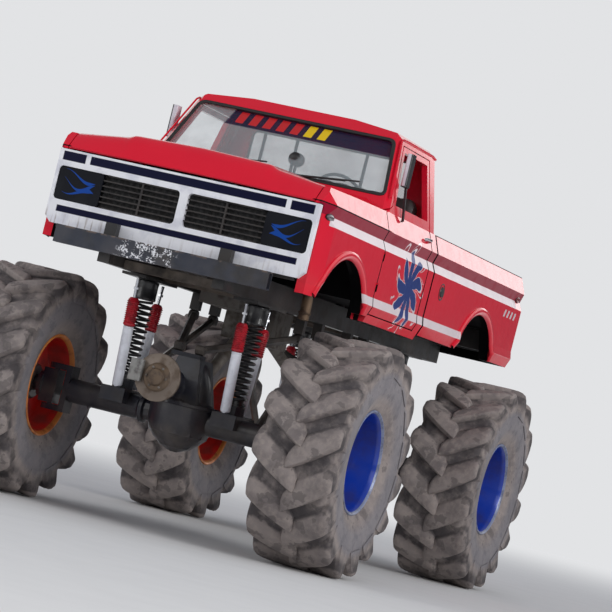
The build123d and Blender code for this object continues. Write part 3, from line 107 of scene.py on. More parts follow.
camera = add_object("camera", bpy.data.cameras.new("camera"))
camera.data.lens, camera.data.sensor_width, camera.data.clip_end = 170.32, 36, 200
camera.matrix_world = Matrix.Translation(camera_place) @ axes
bpy.context.scene.camera = camera
bpy.context.scene.view_settings.view_transform = "Standard"
print("camera looks along", [round(v, 3) for v in forward])

# %% [markdown]
# ## Shader maths as Python
# A finish is a small sum of noises and masks. Wiring those by hand hides the idea, so one class wraps a
# node's socket: adding or multiplying two of them adds the Math node that does it.

# %% The socket class
def linear(value):
    """Part of a colour as on a paint chart, 0 to 255, as the linear number that shaders use."""
    value /= 255
    return value / 12.92 if value < 0.04045 else ((value + 0.055) / 1.055) ** 2.4


def feed(socket, value):
    """What varies is linked to a socket; what is the same all over is set on it."""
    if isinstance(value, Shade):
        value.tree.links.new(value.socket, socket)
    elif socket.type == "RGBA":
        socket.default_value = (*map(linear, value), 1)
    else:
        socket.default_value = value


class Shade:
    """One output of a node tree, used as a number, a vector or a colour in Python expressions."""

    def __init__(self, tree, socket=None):
        self.tree = tree
        self.socket = socket

    def node(self, kind, settings=(), inputs=(), output=0):
        """Any node: its settings are set first, then what goes into its sockets."""
        made = self.tree.nodes.new(kind)
        for name, value in dict(settings).items():
            setattr(made, name, value)
        for name, value in dict(inputs).items():
            feed(made.inputs[name], value)
        return Shade(self.tree, made.outputs[output])

    def math(self, operation, *values):
        """A Math node on the values, or on this one alone."""
        return self.node("ShaderNodeMath", {"operation": operation}, enumerate(values or [self]))

    def __add__(self, other):
        return self.math("ADD", self, other)

    __radd__ = __add__

    def __sub__(self, other):
        return self.math("SUBTRACT", self, other)

    def __rsub__(self, other):
        return self.math("SUBTRACT", other, self)

    def __mul__(self, other):
        return self.math("MULTIPLY", self, other)

    def __abs__(self):
        return self.math("ABSOLUTE")

    def part(self, axis):
        return self.node("ShaderNodeSeparateXYZ", inputs={0: self}, output=axis)

    def scaled(self, scale):
        """This vector with each part multiplied."""
        return self.node("ShaderNodeVectorMath", {"operation": "MULTIPLY"}, {0: self, 1: scale})

    def rise(self, low, high):
        """0 up to low, 1 from high on, and a smooth rise between them."""
        inputs = {"Value": self, "From Min": low, "From Max": high}
        return self.node("ShaderNodeMapRange", {"interpolation_type": "SMOOTHSTEP"}, inputs)

    def fall(self, low, high):
        """1 up to low, 0 from high on."""
        return 1 - self.rise(low, high)

    def between(self, low, high, soft=0.003):
        """1 between two values, with soft edges."""
        return self.rise(low - soft, low + soft) * self.fall(high - soft, high + soft)

    def noise(self, scale, detail=4.0):
        inputs = {"Vector": self, "Scale": scale, "Detail": detail, "Roughness": 0.55}
        return self.node("ShaderNodeTexNoise", inputs=inputs)

    def patches(self, scale, low=0.45, high=0.65):
        """Uneven patches, 0 to 1."""
        return self.noise(scale, 6).rise(low, high)

    def blend(self, low, high):
        """A colour between two, by this mask."""
        return self.node("ShaderNodeMix", {"data_type": "RGBA"}, {0: self, 6: low, 7: high}, output=2)


def length(across, above):
    """How far a point is from a middle, from its two distances."""
    return (across * across + above * above).math("SQRT")


# %% Materials
finishes = {}


def new_finish(name):
    """Starts a material; gives its main shader, and the place on the piece that its pattern follows."""
    material = finishes[name] = bpy.data.materials.new(name)
    material.use_nodes = True
    print("finish", name)
    tree = material.node_tree
    return tree.nodes["Principled BSDF"], Shade(tree).node("ShaderNodeTexCoord", output="Object")


def set_finish(shader, values, relief=None, depth=0.001):
    """Fills the shader's sockets; the relief is a fine grain in the surface."""
    if relief is not None:
        bump = relief.node("ShaderNodeBump", inputs={"Height": relief, "Distance": depth})
        values = {**values, "Normal": bump}
    for name, value in values.items():
        feed(shader.inputs[name], value)


# %% [markdown]
# ## Studio
# The truck stands on a pale floor under wide, soft lamps. Paint shows its gloss only if it has
# something to mirror, so the surroundings are grey near the horizon, bright above it, and dimmer again
# overhead.

# %% Floor
floor_half = 60
black, backdrop_tone = (0, 0, 0), (226, 227, 229)
floor_mesh = bpy.data.meshes.new("floor")
floor_corners = [(x * floor_half, y * floor_half, 0) for x, y in ((-1, -1), (1, -1), (1, 1), (-1, 1))]
floor_mesh.from_pydata(floor_corners, [], [(0, 1, 2, 3)])
floor = add_object("floor", floor_mesh)
shader, place = new_finish("floor_finish")
floor_tone = place.noise(3, 6).blend((214, 213, 212), (224, 223, 222))
far = length(place.part("X"), place.part("Y")).rise(5, 17)
set_finish(shader, {
    "Base Color": far.blend(floor_tone, black), "Emission Color": far.blend(black, backdrop_tone),
    "Emission Strength": 1.0, "Roughness": 0.9, "Specular IOR Level": 0.0,
})
floor_mesh.materials.append(finishes["floor_finish"])
print("floor", 2 * floor_half, "m wide")

# %% Surroundings and lamps
world = bpy.data.worlds.new("surroundings")
world.use_nodes = True
bpy.context.scene.world = world
air = Shade(world.node_tree)
heading = air.node("ShaderNodeTexCoord", output="Generated").part("Z")
bright_band = heading.rise(0.212, 0.222) * (1 - heading.rise(0.58, 0.70) * 0.85)
mirrored = bright_band.blend((84, 86, 92), (255, 255, 255))
seen = air.node("ShaderNodeLightPath", output="Is Camera Ray")
glossy = air.node("ShaderNodeLightPath", output="Is Glossy Ray")
background = world.node_tree.nodes["Background"]
feed(background.inputs["Color"], seen.blend(glossy.blend((181, 184, 191), mirrored), backdrop_tone))
background.inputs["Strength"].default_value = 1.0

lamp_aim = Vector((0, 0, 1.6))
lamps = {
    "key": ((16.5, -8, 8.5), (9, 9), 1600),
    "fill": ((-9, -10, 5), (7, 7), 330),
    "sky": ((7.2, 40, 13.2), (6, 8), 230),
}
for name, (where, size, power) in lamps.items():
    lamp = add_object(name, bpy.data.lights.new(name, "AREA"))
    lamp.data.shape = "RECTANGLE"
    lamp.data.size, lamp.data.size_y = size
    lamp.data.energy = power
    lamp.location = where
    lamp.rotation_euler = (lamp_aim - Vector(where)).to_track_quat("-Z", "Y").to_euler()
print("lamps", *lamps)

# %% [markdown]
# ## Dust
# The truck has just run through dirt. Dust settles in patches, thick low down and thin above. Most
# finishes take it from one helper, so that it lies at the same heights on all of them; the tyres are
# so dusty that theirs is the finish itself.

# %% Dust
def dusted(place, colour, amount, low_z, high_z):
    """A colour under dust that thins out from one height to another."""
    mask = place.patches(5, 0.3, 0.75) * place.part("Z").fall(low_z, high_z) * amount
    return mask.blend(colour, (128, 117, 108))


# %% [markdown]
# ## Body paint
# One red covers the fenders, doors, cab and bed, so one material does too, and its bands cross the
# panel gaps in line. The white bands are a painted reflection of the sky on up-facing chamfers, and
# the darker channel between them is painted shade on its downward-facing half; both are masks on
# height. A splash of blue and white on each door is drawn with angle and distance from its middle.

# %% Painted reflection bands, painted channel shade and splash on the body's sides
channel_low_z, channel_mid_z, channel_top_z = 2.272, 2.335, 2.411
lower_reflection_low_z, lower_reflection_high_z = 1.868, 1.928
splash_run, splash_z = 1.36, 2.08
door_front, door_rear, cab_rear = 0.620, 1.725, 1.865
wheelbase, tail_run = rear_axle_y - front_axle_y, tail_y - front_axle_y
# Run behind the front axle, height and radius of each wheel arch
front_arch = (-0.050, 1.550, 0.590)
rear_arch = (wheelbase, 1.533, 0.607)


def body_parts(place):
    """Distance from the middle plane, run behind the front axle, and height."""
    return abs(place.part("X")), place.part("Y") - front_axle_y, place.part("Z")


def side_reflection_and_shade(place):
    """Masks of the painted reflection, white bands on up-facing chamfers, and of the painted shade in the
    channel.
    """
    x, run, z = body_parts(place)
    upper = z.between(channel_low_z, channel_mid_z, 0.002) * run.between(-0.60, tail_run - 0.16)
    lower = z.between(lower_reflection_low_z, lower_reflection_high_z, 0.002) * run.between(0.3, wheelbase - 0.50)
    # Painted shade: the channel's upper half faces downward and is drawn darker.
    channel_shade = z.between(channel_mid_z, channel_top_z, 0.002)
    side = x.rise(0.93, 0.95)
    return (upper + lower) * side, channel_shade * side


def splash(place):
    """Masks of a whirling splash: its blue body, and its white outline with broken lines round it."""
    x, run, z = body_parts(place)
    across, above = (run - splash_run) * 0.95, z - splash_z
    distance = length(across, above)
    turn = above.math("ARCTAN2", above, across)
    whirl = turn * 4.5 + distance * 9 + place.noise(4, 3) * 3
    rim = distance - (0.085 + abs(whirl.math("SINE")) * 0.20)
    broken = rim.between(0.060, 0.076, 0.002) * place.noise(4, 2).rise(0.44, 0.48)
    side = x.rise(0.94, 0.95) * run.between(door_front, tail_run)
    return rim.fall(-0.004, 0.002) * side, (rim.fall(0.018, 0.022) + broken) * side


def tail_bars(place):
    """A row of slanted white bars on the bed's side, near the tail."""
    x, run, z = body_parts(place)
    slant = (place.part("Y") - z * 0.5) * 62
    inside = z.between(2.175, 2.235, 0.002) * run.between(3.98, 4.36) * x.rise(0.97, 0.98)
    return slant.math("SINE").rise(0.0, 0.25) * inside


# %% Painted shade in gaps and under the sheet, and near-black insides
def shade_and_dark_insides(place):
    """Near black: painted shade in gaps, the crease, sills, rails and sheet facing inward, down or
    forward; fender and arch insides.
    """
    x, run, z = body_parts(place)
    # Painted shadow: the door and cab gaps and the crease under the shoulder are near black.
    gaps = run.between(door_front - 0.004, door_front + 0.012, 0.001)
    gaps = (gaps + run.between(door_rear - 0.015, door_rear + 0.003, 0.001)) * z.between(1.80, 2.545)
    gaps = gaps + run.between(cab_rear - 0.002, cab_rear + 0.030, 0.001) * z.fall(2.546, 2.552)
    crease = z.between(channel_top_z - 0.003, channel_top_z + 0.006, 0.001) * run.fall(0.6, 0.8)
    dark = (gaps + crease) * x.rise(0.88, 0.90)

    # Painted shade by facing: sheet that faces inward, down or forward under the body is darkened.
    facing = place.node("ShaderNodeTexCoord", output="Normal")
    inward = (facing.part("X") * place.part("X").math("SIGN")).fall(-0.35, -0.25)
    frontward = facing.part("Y").fall(-0.6, -0.5) * x.fall(0.925, 0.935) * z.fall(2.50, 2.51)
    downward = facing.part("Z").fall(-0.6, -0.5) * x.fall(0.99, 1.0) * z.fall(2.38, 2.40)
    behind_cab, under_floor = run.rise(cab_rear, cab_rear + 0.01), z.fall(2.03, 2.04)
    in_fender = run.fall(door_front, door_front + 0.01) * z.fall(2.385, 2.395)
    cargo_box = run.rise(cab_rear + 0.1, cab_rear + 0.11) * z.rise(2.03, 2.04)
    dark = dark + inward * (in_fender + behind_cab * under_floor) + downward
    dark = dark + frontward * run.rise(-0.62, -0.60) * (1 - cargo_box)

    sill = behind_cab * x.fall(0.965, 0.975) * x.rise(0.88, 0.89) * z.fall(2.0, 2.01)
    rail = z.rise(2.536, 2.540) * z.fall(2.548, 2.552) * x.rise(0.86, 0.88)
    dark = dark + sill + rail * run.rise(cab_rear + 0.02, cab_rear + 0.03)
    arches = 0
    for middle, middle_z, radius in (front_arch, rear_arch):
        arches = arches + length(run - middle, z - middle_z).fall(radius + 0.002, radius + 0.003)
    return dark + arches * x.fall(0.975, 0.985) * (x.rise(0.925, 0.930) + under_floor).rise(0, 1)


# %% Body paint
white_tone = (220, 207, 210)
shader, place = new_finish("body_paint")
reflection_bands, channel_shade = side_reflection_and_shade(place)
splash_body, splash_outline = splash(place)
colour = place.noise(2.5, 3).blend((212, 18, 46), (226, 20, 48))
# Painted shade: the channel's downward-facing upper half is a darker red.
colour = channel_shade.blend(colour, (142, 14, 44))
# Painted reflection: white bands where up-facing chamfers mirror the sky; the tail bars are decals.
colour = (reflection_bands + tail_bars(place)).blend(colour, white_tone)
colour = splash_outline.blend(colour, white_tone)
colour = splash_body.blend(colour, (26, 52, 120))
colour = dusted(place, colour, 0.14, 1.80, 2.1)
# Painted shade in gaps, creases and under the sheet, and near-black insides, from one mask.
dark = shade_and_dark_insides(place)
low_edge = place.part("Z").fall(1.860, 1.868)
matt = (reflection_bands * 0.8 + channel_shade * 0.9 + dark + low_edge * 0.7).rise(0, 1)
set_finish(shader, {
    "Base Color": dark.blend(colour, (13, 12, 14)),
    "Roughness": 0.30 + place.patches(9) * 0.10 + dark * 0.3,
    "Coat Weight": (1 - matt) * 0.85, "Coat Roughness": 0.07, "Specular IOR Level": 0.08,
}, place.noise(60, 2), 0.0002)
print("nodes in the body paint:", len(finishes["body_paint"].node_tree.nodes))

# %% [markdown]
# ## The other finishes
# Most of the remaining finishes are a base tone, a second tone in patches, and dust. A table keeps
# them side by side, so that their differences can be read at a glance.

# %% Plain finishes
# Name: main tone, second tone, patch scale, roughness, metallic, coat, dust amount, dust top height
plain_finishes = {
    "chassis_black": ((30, 29, 31), (48, 44, 42), 8, 0.5, 0, 0.2, 0.55, 2.0),
    "axle_black": ((12, 16, 32), (27, 25, 29), 7, 0.42, 0, 0.35, 0.42, 1.25),
    "rusty_steel": ((104, 84, 66), (70, 54, 44), 14, 0.6, 0.6, 0, 0.5, 1.5),
    "cast_grey": ((112, 108, 104), (82, 76, 70), 12, 0.55, 0.5, 0, 0.5, 2.4),
    "spring_black": ((18, 18, 22), (34, 33, 36), 12, 0.35, 0, 0.4, 0.3, 1.2),
    "shock_white": ((236, 238, 246), (214, 216, 224), 10, 0.3, 0, 0.4, 0.25, 1.3),
    "boot_red": ((184, 22, 40), (140, 18, 32), 16, 0.45, 0, 0.1, 0.2, 1.6),
    "bright_steel": ((196, 198, 204), (160, 160, 166), 10, 0.18, 1, 0, 0.15, 1.6),
    "black_rubber": ((24, 24, 25), (36, 35, 35), 20, 0.6, 0, 0, 0.3, 2.0),
    "seat_vinyl": ((52, 47, 48), (38, 34, 35), 8, 0.42, 0, 0.1, 0.1, 2.2),
    "dark_plastic": ((30, 30, 32), (42, 42, 44), 14, 0.45, 0, 0, 0.15, 2.0),
    "grille_black": ((40, 34, 32), (24, 20, 22), 18, 0.5, 0, 0.1, 0.2, 2.2),
    # Near black: radiator fins, and painted shade behind the grille bars.
    "core_black": ((12, 12, 15), (22, 19, 19), 16, 0.7, 0, 0, 0.15, 2.2),
    "dirty_steel": ((64, 54, 44), (30, 27, 25), 6, 0.8, 0, 0, 0.8, 2.4),
    "lens_grey": ((92, 84, 90), (76, 70, 76), 40, 0.2, 0, 0.6, 0.1, 2.2),
    "lamp_red": ((138, 12, 20), (98, 8, 14), 30, 0.12, 0, 0.8, 0.1, 2.2),
    "rim_blue": ((2, 54, 164), (2, 38, 134), 5, 0.3, 0.1, 0.6, 0.1, 0.9),
    "rim_red": ((214, 24, 16), (170, 16, 12), 6, 0.35, 0, 0.4, 0.25, 0.9),
    "rim_lip": ((128, 138, 168), (96, 102, 124), 14, 0.4, 0.3, 0.2, 0.35, 0.5),
    "rim_orange": ((224, 136, 62), (190, 104, 48), 12, 0.4, 0.2, 0.2, 0.2, 0.9),
    "brake_iron": ((116, 104, 94), (92, 78, 66), 12, 0.5, 0.4, 0, 0.3, 1.5),
    "brake_hub": ((98, 80, 62), (72, 58, 48), 14, 0.6, 0.3, 0, 0.3, 1.5),
    "caliper_grey": ((138, 138, 136), (92, 90, 90), 16, 0.5, 0.4, 0, 0.45, 1.5),
}
for name, (main, second, scale, roughness, metallic, coat, dust, dust_top) in plain_finishes.items():
    shader, place = new_finish(name)
    mask = place.patches(scale)
    colour = mask.blend(main, second)
    set_finish(shader, {
        "Base Color": dusted(place, colour, dust, dust_top - 0.9, dust_top),
        "Roughness": roughness + mask * 0.15, "Metallic": metallic, "Coat Weight": coat,
    }, place.noise(scale * 12, 3), 0.0004)

# %% Trim white with rust runs, and the lamp covers
shader, place = new_finish("trim_white")
x, z = place.part("X"), place.part("Z")
runs = place.scaled((26, 26, 3)).noise(1.4, 5).rise(0.50, 0.72)
runs = runs * z.fall(1.90, 2.00) * (0.25 + x.fall(-0.75, -0.35) * 0.75)
colour = place.patches(7).blend((232, 232, 236), (212, 212, 220))
colour = runs.blend(colour, (120, 92, 70))
navy = z.between(2.315, 2.372, 0.002) * abs(x).between(-1, 0.72, 0.002)
navy = navy + z.between(2.312, 2.374, 0.002) * abs(x).between(0.755, 0.925, 0.003)
navy = navy + z.between(1.962, 2.006, 0.002) * abs(x).between(-1, 0.885, 0.004)
values = {"Base Color": navy.blend(colour, (9, 12, 44)), "Roughness": 0.4, "Specular IOR Level": 0.12}
set_finish(shader, values, place.noise(50, 2), 0.0003)

shader, place = new_finish("lamp_cover")
across, z = abs(place.part("X")) - 0.62, place.part("Z")
# Height of each stroke's inner end, how far it swings, where its wave starts, and its thickness
stroke_marks = ((2.10, 0.030, 0.4, 0.016), (2.155, 0.040, 1.9, 0.014), (2.205, 0.028, 3.1, 0.011))
strokes = 0
for base_z, swing, phase, thick in stroke_marks:
    line = abs(z - base_z - (across * 19 + phase).math("SINE") * swing - across * 0.10)
    taper = across.fall(0.05, 0.27) * across.rise(0.02, 0.08)
    strokes = strokes + (line - taper * thick).fall(-0.001, 0.002) * across.between(0.03, 0.26)
colour = place.patches(5).blend((14, 16, 24), (22, 24, 30))
colour = strokes.blend(colour, (14, 66, 150))
values = {"Base Color": colour, "Roughness": 0.35, "Specular IOR Level": 0.15}
set_finish(shader, values, place.noise(50, 2), 0.0003)

# %% Bumper with chipped paint, mirror shell and glass
shader, place = new_finish("bumper_paint")
chips = place.noise(26, 3).rise(0.50, 0.56) * place.noise(80, 3).rise(0.47, 0.53)
chips = chips * abs(place.part("X") + 0.10).fall(0.10, 0.26).rise(0.0, 0.6)
edge_rust = place.part("Z").rise(1.855, 1.872) * place.noise(14, 5).rise(0.45, 0.6)
colour = dusted(place, place.patches(6).blend((24, 33, 50), (17, 21, 30)), 0.3, 1.5, 2.2)
colour = chips.blend(edge_rust.blend(colour, (104, 88, 78)), (222, 222, 226))
values = {"Base Color": colour, "Roughness": 0.42 + chips * 0.3, "Coat Weight": 0.1}
set_finish(shader, values, chips, 0.0006)

shader, place = new_finish("mirror_shell")
# Painted reflection: the mirror's glass face is drawn as a flat pale grey.
face = abs(place.part("X")).fall(0.934, 0.938) * place.part("Z").rise(2.765, 2.770)
colour = face.blend(place.patches(14).blend((26, 26, 28), (40, 40, 42)), (206, 206, 214))
values = {"Base Color": colour, "Roughness": 0.35, "Coat Weight": 0.2}
set_finish(shader, values, place.noise(60, 2), 0.0002)

shader, place = new_finish("glass")
x, z = place.part("X"), place.part("Z")
film = place.patches(3, 0.35, 0.7)
front_pane = place.part("Y").between(-3, front_axle_y + 1.3)
blocks = ((x - z * 0.25) * 58).math("SINE").rise(-0.35, -0.2) * z.between(2.968, 3.058, 0.002)
blocks = blocks * x.between(-0.45, 0.286) * front_pane
banner = z.rise(2.940, 2.950) * front_pane * (x - z * 0.3).rise(-1.42, -1.40)
colour = banner.blend(film.blend((196, 208, 212), (176, 184, 186)), (34, 44, 72))
colour = blocks.blend(colour, x.rise(0.070, 0.072).blend((190, 40, 44), (226, 190, 30)))
alpha = 0.22 + film * 0.10 + banner * 0.3 + blocks * 0.5
set_finish(shader, {"Base Color": colour, "Roughness": 0.06 + film * 0.08, "Alpha": alpha})

# %% Finishes on the CAD pieces
node_finishes = {
    "dirty_steel": "crossmembers",
    "chassis_black": "frame_rails bumper_brackets bed_sills radiator_support radiator tow_plate "
                     "suspension_links",
    "axle_black": "front_axle rear_axle knuckle_left knuckle_right tie_rod",
    "rusty_steel": "pinion_brakes",
    "caliper_grey": "brake_calipers",
    "cast_grey": "engine_block gearbox transfer_case driveshafts",
    "spring_black": "coil_springs spring_cans",
    "shock_white": "shock_bodies",
    "boot_red": "shock_boots",
    "bright_steel": "shock_rods",
    "black_rubber": "cab_mounts tyre_front_left tyre_front_right tyre_rear_left tyre_rear_right",
    "seat_vinyl": "seat",
    "dark_plastic": "dashboard steering_wheel",
    "mirror_shell": "mirror_left mirror_right",
    "grille_black": "grille_bars",
    "lamp_cover": "lamp_covers",
    "lamp_red": "tail_lamps",
    "rim_blue": "rim_front_left rim_front_right rim_rear_left rim_rear_right",
    "body_paint": "cab door_left door_right fender_left fender_right hood bed tailgate",
    "trim_white": "grille_surround",
    "bumper_paint": "front_bumper",
    "glass": "windshield rear_window",
}
unfinished = set(nodes)
for finish_name, names in node_finishes.items():
    for name in names.split():
        piece = nodes[name]
        for slot in piece.material_slots:
            slot.material = finishes[finish_name]
        if not piece.material_slots:
            piece.data.materials.append(finishes[finish_name])
        unfinished.remove(name)
print("nodes without a finish:", sorted(unfinished))

# %% [markdown]
# ## Building pieces
# Most of what is added is turned on a lathe or drawn along a line: tyres, rims, shocks, springs, seals.
# Two helpers cover both, and a third turns the mesh into a named piece that rides on a body and takes
# the place of the plain solid. Small profiles are written in millimetres, as on a workshop drawing.

# %% Profiles, lathe and sweep
def mm(*points):
    """Points written in millimetres, given in metres."""
    return [tuple(value / 1000 for value in point) for point in points]


def rod(radius, run):
    """The profile of a plain round bar."""
    return [(0, 0), (0, radius), (run, radius), (run, 0)]


def along(marks, value):
    """What a row of (place, size) marks gives between them; past its ends the last span runs on."""
    number = 0
    while number < len(marks) - 2 and value > marks[number + 1][0]:
        number += 1
    (start, low), (end, high) = marks[number:number + 2]
    return low + (high - low) * (value - start) / (end - start)


def turns(count, first=0):
    """Even angles round a circle."""
    return [2 * pi * (number + first) / count for number in range(count)]


def round_section(radius, sides=10):
    return [(radius * cos(turn), radius * sin(turn)) for turn in turns(sides)]


def bridge(bm, rings, around=True, loop=False, finish=0):
    """Faces from each run of points to the next; a run of one point is a tip."""
    count = max(len(ring) for ring in rings)
    made = []
    for ring, after in zip(rings, rings[1:] + rings[:1] if loop else rings[1:]):
        for number in range(count if around else count - 1):
            follow = (number + 1) % count
            corners = (ring[number % len(ring)], ring[follow % len(ring)])
            corners += (after[follow % len(after)], after[number % len(after)])
            made.append(bm.faces.new(dict.fromkeys(corners)))
            made[-1].material_index = finish
    return made


def lathe(bm, origin, axis, profile, segments=48, finish=0):
    """Turns a profile of (run along the axis, radius); one that ends where it starts is closed."""
    axis = Vector(axis).normalized()
    side = axis.orthogonal().normalized()
    other = axis.cross(side)
    closed = profile[0] == profile[-1]
    rings = []
    for run, radius in profile[:-1] if closed else profile:
        centre = Vector(origin) + axis * run
        spokes = [side * cos(turn) + other * sin(turn) for turn in turns(segments if radius else 1)]
        rings.append([bm.verts.new(centre + spoke * radius) for spoke in spokes])
    return bridge(bm, rings, loop=closed, finish=finish)


def ring_of(bm, middle, axis, circle, count, shape, finish=0):
    """Nuts or bolts: one small six-sided turned shape at even places round an axis."""
    axis = Vector(axis)
    first, second = (way for way in Matrix.Identity(3) if not way.dot(axis))
    for turn in turns(count):
        place = Vector(middle) + (first * cos(turn) + second * sin(turn)) * circle
        lathe(bm, place, axis, shape, 6, finish)


def sweep(bm, path, section, rising=(0, 0, 1), closed=False):
    """Draws a closed section along a path; the section's second axis leans to the rising direction."""
    path = [Vector(point) for point in path]
    rings = []
    for number, point in enumerate(path):
        before = path[number - 1] if closed or number else point
        after = path[(number + 1) % len(path)] if closed or number + 1 < len(path) else point
        ahead = (after - before).normalized()
        across = ahead.cross(Vector(rising)).normalized()
        above = across.cross(ahead)
        rings.append([bm.verts.new(point + across * u + above * v) for u, v in section])
    bridge(bm, rings, loop=closed)
    if not closed:
        bm.faces.new(rings[0])
        bm.faces.new(rings[-1])


def side_sweep(bm, side, path, section):
    """A sweep along the body's left side or, mirrored, its right; the section stands out from it."""
    path = [(side * x, y, z) for x, y, z in path]
    sweep(bm, path, [(u, side * v) for u, v in section], (1, 0, 0))


def make_piece(bm, name, finish_names, body="root", stands_for=None, place=(0, 0, 0), crease=38):
    """Turns a mesh in the making into a piece that rides on a body and may stand for a solid."""
    bmesh.ops.recalc_face_normals(bm, faces=bm.faces)
    mesh = bpy.data.meshes.new(name)
    bm.to_mesh(mesh)
    bm.free()
    finish_names = finish_names.split()
    for finish_name in finish_names:
        mesh.materials.append(finishes[finish_name])
    mesh.shade_smooth()
    mesh.set_sharp_from_angle(angle=radians(crease))
    piece = add_object(name, mesh)
    piece.location = place
    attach(piece, body)
    if stands_for:
        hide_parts(stands_for)
    print(name, len(mesh.polygons), "faces on", body)
    return piece


# %% [markdown]
# ## Tyres
# A tractor tyre is a smooth carcass with tall slanted bars moulded on it in two staggered rows. The
# carcass is turned; each bar is a rounded section swept from the middle of the tread over the shoulder,
# because a bar that is only a box never shows the way the rubber wraps down the side.

# %% Tyre rubber under dry dust
shader, place = new_finish("tyre_rubber")
reach = length(place.part("Y"), place.part("Z"))
fine = place.patches(22, 0.42, 0.66)
side_wall = abs(place.part("X")).rise(0.255, 0.285) * reach.fall(0.60, 0.66)
# Painted shade: the carcass between the lugs is darker, in uneven patches.
groove_shade = reach.fall(0.752, 0.768) * reach.rise(0.66, 0.72) * place.patches(7, 0.3, 0.6)
colour = place.patches(4, 0.35, 0.7).blend((142, 132, 128), (106, 98, 97))
colour = (fine * 0.5).blend(colour, (160, 149, 142))
colour = (place.noise(11, 5).rise(0.54, 0.60) * 0.55).blend(colour, (74, 69, 70))
colour = (side_wall * 0.6).blend(colour, (118, 117, 124))
colour = (groove_shade * 0.85).blend(colour, (56, 52, 55))
values = {"Base Color": colour, "Roughness": 0.82 + fine * 0.12}
set_finish(shader, values, place.noise(40, 6) + place.noise(9, 3) * 0.6, 0.004)

# %% Tyre shapes
half_profile = mm(
    (214, 348), (232, 372), (262, 430), (281, 500), (288, 560),
    (286, 620), (276, 680), (250, 722), (215, 742), (120, 746), (0, 747),
)
tread_marks = half_profile[:4:-1]
# Radius of each raised ring on the side, and its rise
side_rings, ring_half_width = mm((395, 3), (412, 3), (470, 2), (585, 3.5)), 0.005
lugs_a_row, lug_inner, lug_outer = 16, -0.045, 0.295
lug_drift, lug_bow, lug_turn_radius = 0.22, 0.012, 0.78
lug_half_top, lug_half_root, lug_top, lug_depth = 0.041, 0.057, 0.800, 0.014
# The steep side: run from its top edge, and drop. The worn side: shares of its slope and of its drop
steep_marks = ((-0.006, 0.020), (0, 0.007), (0.008, 0))
worn_slope, worn_marks = 0.150, ((0.10, 0.07), (0.35, 0.24), (0.62, 0.48), (0.85, 0.76), (1.0, 1.0))
# Share along a lug, drop of its top, and narrowing of its top, so that both ends are rounded
lug_stations = (
    (0.0, 0.020, 0.010), (0.03, 0.005, 0.003), (0.08, 0, 0), (0.3, 0, 0), (0.5, 0, 0),
    (0.7, 0, 0), (0.86, 0.001, 0), (0.94, 0.006, 0), (0.98, 0.014, 0.002), (1.0, 0.030, 0.006),
)


def carcass_profile():
    """The tyre's closed profile, with fine raised rings on its sides."""
    right_side = []
    for (x0, r0), (x1, r1) in zip(half_profile, half_profile[1:]):
        steps = max(1, round(math.hypot(x1 - x0, r1 - r0) / 0.012))
        right_side += [(x0 + (x1 - x0) * n / steps, r0 + (r1 - r0) * n / steps) for n in range(steps)]
    for ring_radius, rise in side_rings:
        for number, (x, r) in enumerate(right_side):
            if abs(r - ring_radius) < ring_half_width:
                right_side[number] = (x + rise, r)
    left_side = [(-x, r) for x, r in reversed(right_side)]
    return right_side + [half_profile[-1]] + left_side + [right_side[0]]


def add_lug(bm, row_side, turn, mirror):
    """One slanted bar with rounded shoulders, steep below and worn to a long slope above."""
    rings = []
    for share, drop, narrow in lug_stations:
        offset = row_side * (lug_inner + (lug_outer - lug_inner) * share)
        drift = lug_drift * (share - 0.5) - lug_bow * sin(pi * share)
        base = along(tread_marks, min(abs(offset), tread_marks[-1][0])) - lug_depth
        top = lug_top - drop
        half_top = lug_half_top - narrow
        slope = worn_slope * min(1, 0.35 + share * 2.2)
        section = [(-lug_half_root, base), *((run - half_top, top - fall) for run, fall in steep_marks)]
        section += [(half_top - 0.012, top - 0.001)]
        section += [(half_top + slope * run, top - (top - base) * fall) for run, fall in worn_marks]
        angles = [turn + (drift + run) / lug_turn_radius for run, _ in section]
        rings.append([bm.verts.new((mirror * offset, -cos(angle) * radius, sin(angle) * radius))
                      for angle, (_, radius) in zip(angles, section)])
    bridge(bm, rings)
    bm.faces.new(rings[0])
    bm.faces.new(rings[-1])


for name, centre in wheel_centres.items():
    bm = bmesh.new()
    lathe(bm, (0, 0, 0), (1, 0, 0), carcass_profile(), 96)
    for row_side, first in ((1, 0), (-1, 0.5)):
        for turn in turns(lugs_a_row, first):
            add_lug(bm, row_side, turn, 1 if centre.x > 0 else -1)
    make_piece(bm, "tyre_" + name + "_rubber", "tyre_rubber", "wheel_" + name, "tyre_" + name, centre)

# %% [markdown]
# ## Rims
# The rims are deep steel dishes. Outside they are painted blue with a bare lip; inside they are red
# with an orange lip. One closed profile gives the whole barrel with its well, disc and rolled lips,
# and each face takes its colour from which side it is on.

# %% Rim shapes
rim_lip = mm(
    (214, 347), (222, 360), (229, 365.5), (236, 362), (238, 355),
    (233, 348), (222, 341), (208, 334), (190, 328),
)
rim_profile = rim_lip + mm(
    (-8, 324), (-19, 318), (-25, 306), (-27, 286), (-27, 240), (-18, 228), (-18, 205),
    (-27, 192), (-27, 60), (-43, 60), (-43, 300), (-47, 318), (-60, 325),
)
rim_profile += [(-run, radius) for run, radius in reversed(rim_lip)]
rim_profile += mm((-195, 345), (195, 345)) + [rim_lip[0]]
hub_front = mm(
    (-27, 112), (-8, 112), (-3, 105), (46, 99), (53, 92),
    (53, 66), (60, 61), (96, 57), (103, 50), (103, 0),
)
hub_back = mm((-43, 130), (-100, 127), (-115, 112), (-115, 50))
nut_shape = mm((0, 16.5), (15, 16.5), (19, 13.5), (19, 9), (32, 9), (34, 0))
bolt_shape = mm((0, 9.5), (6, 9.5), (8, 7), (8, 0))
inside_run, outer_lip_radius, inner_lip_radius = -0.035, 0.343, 0.334
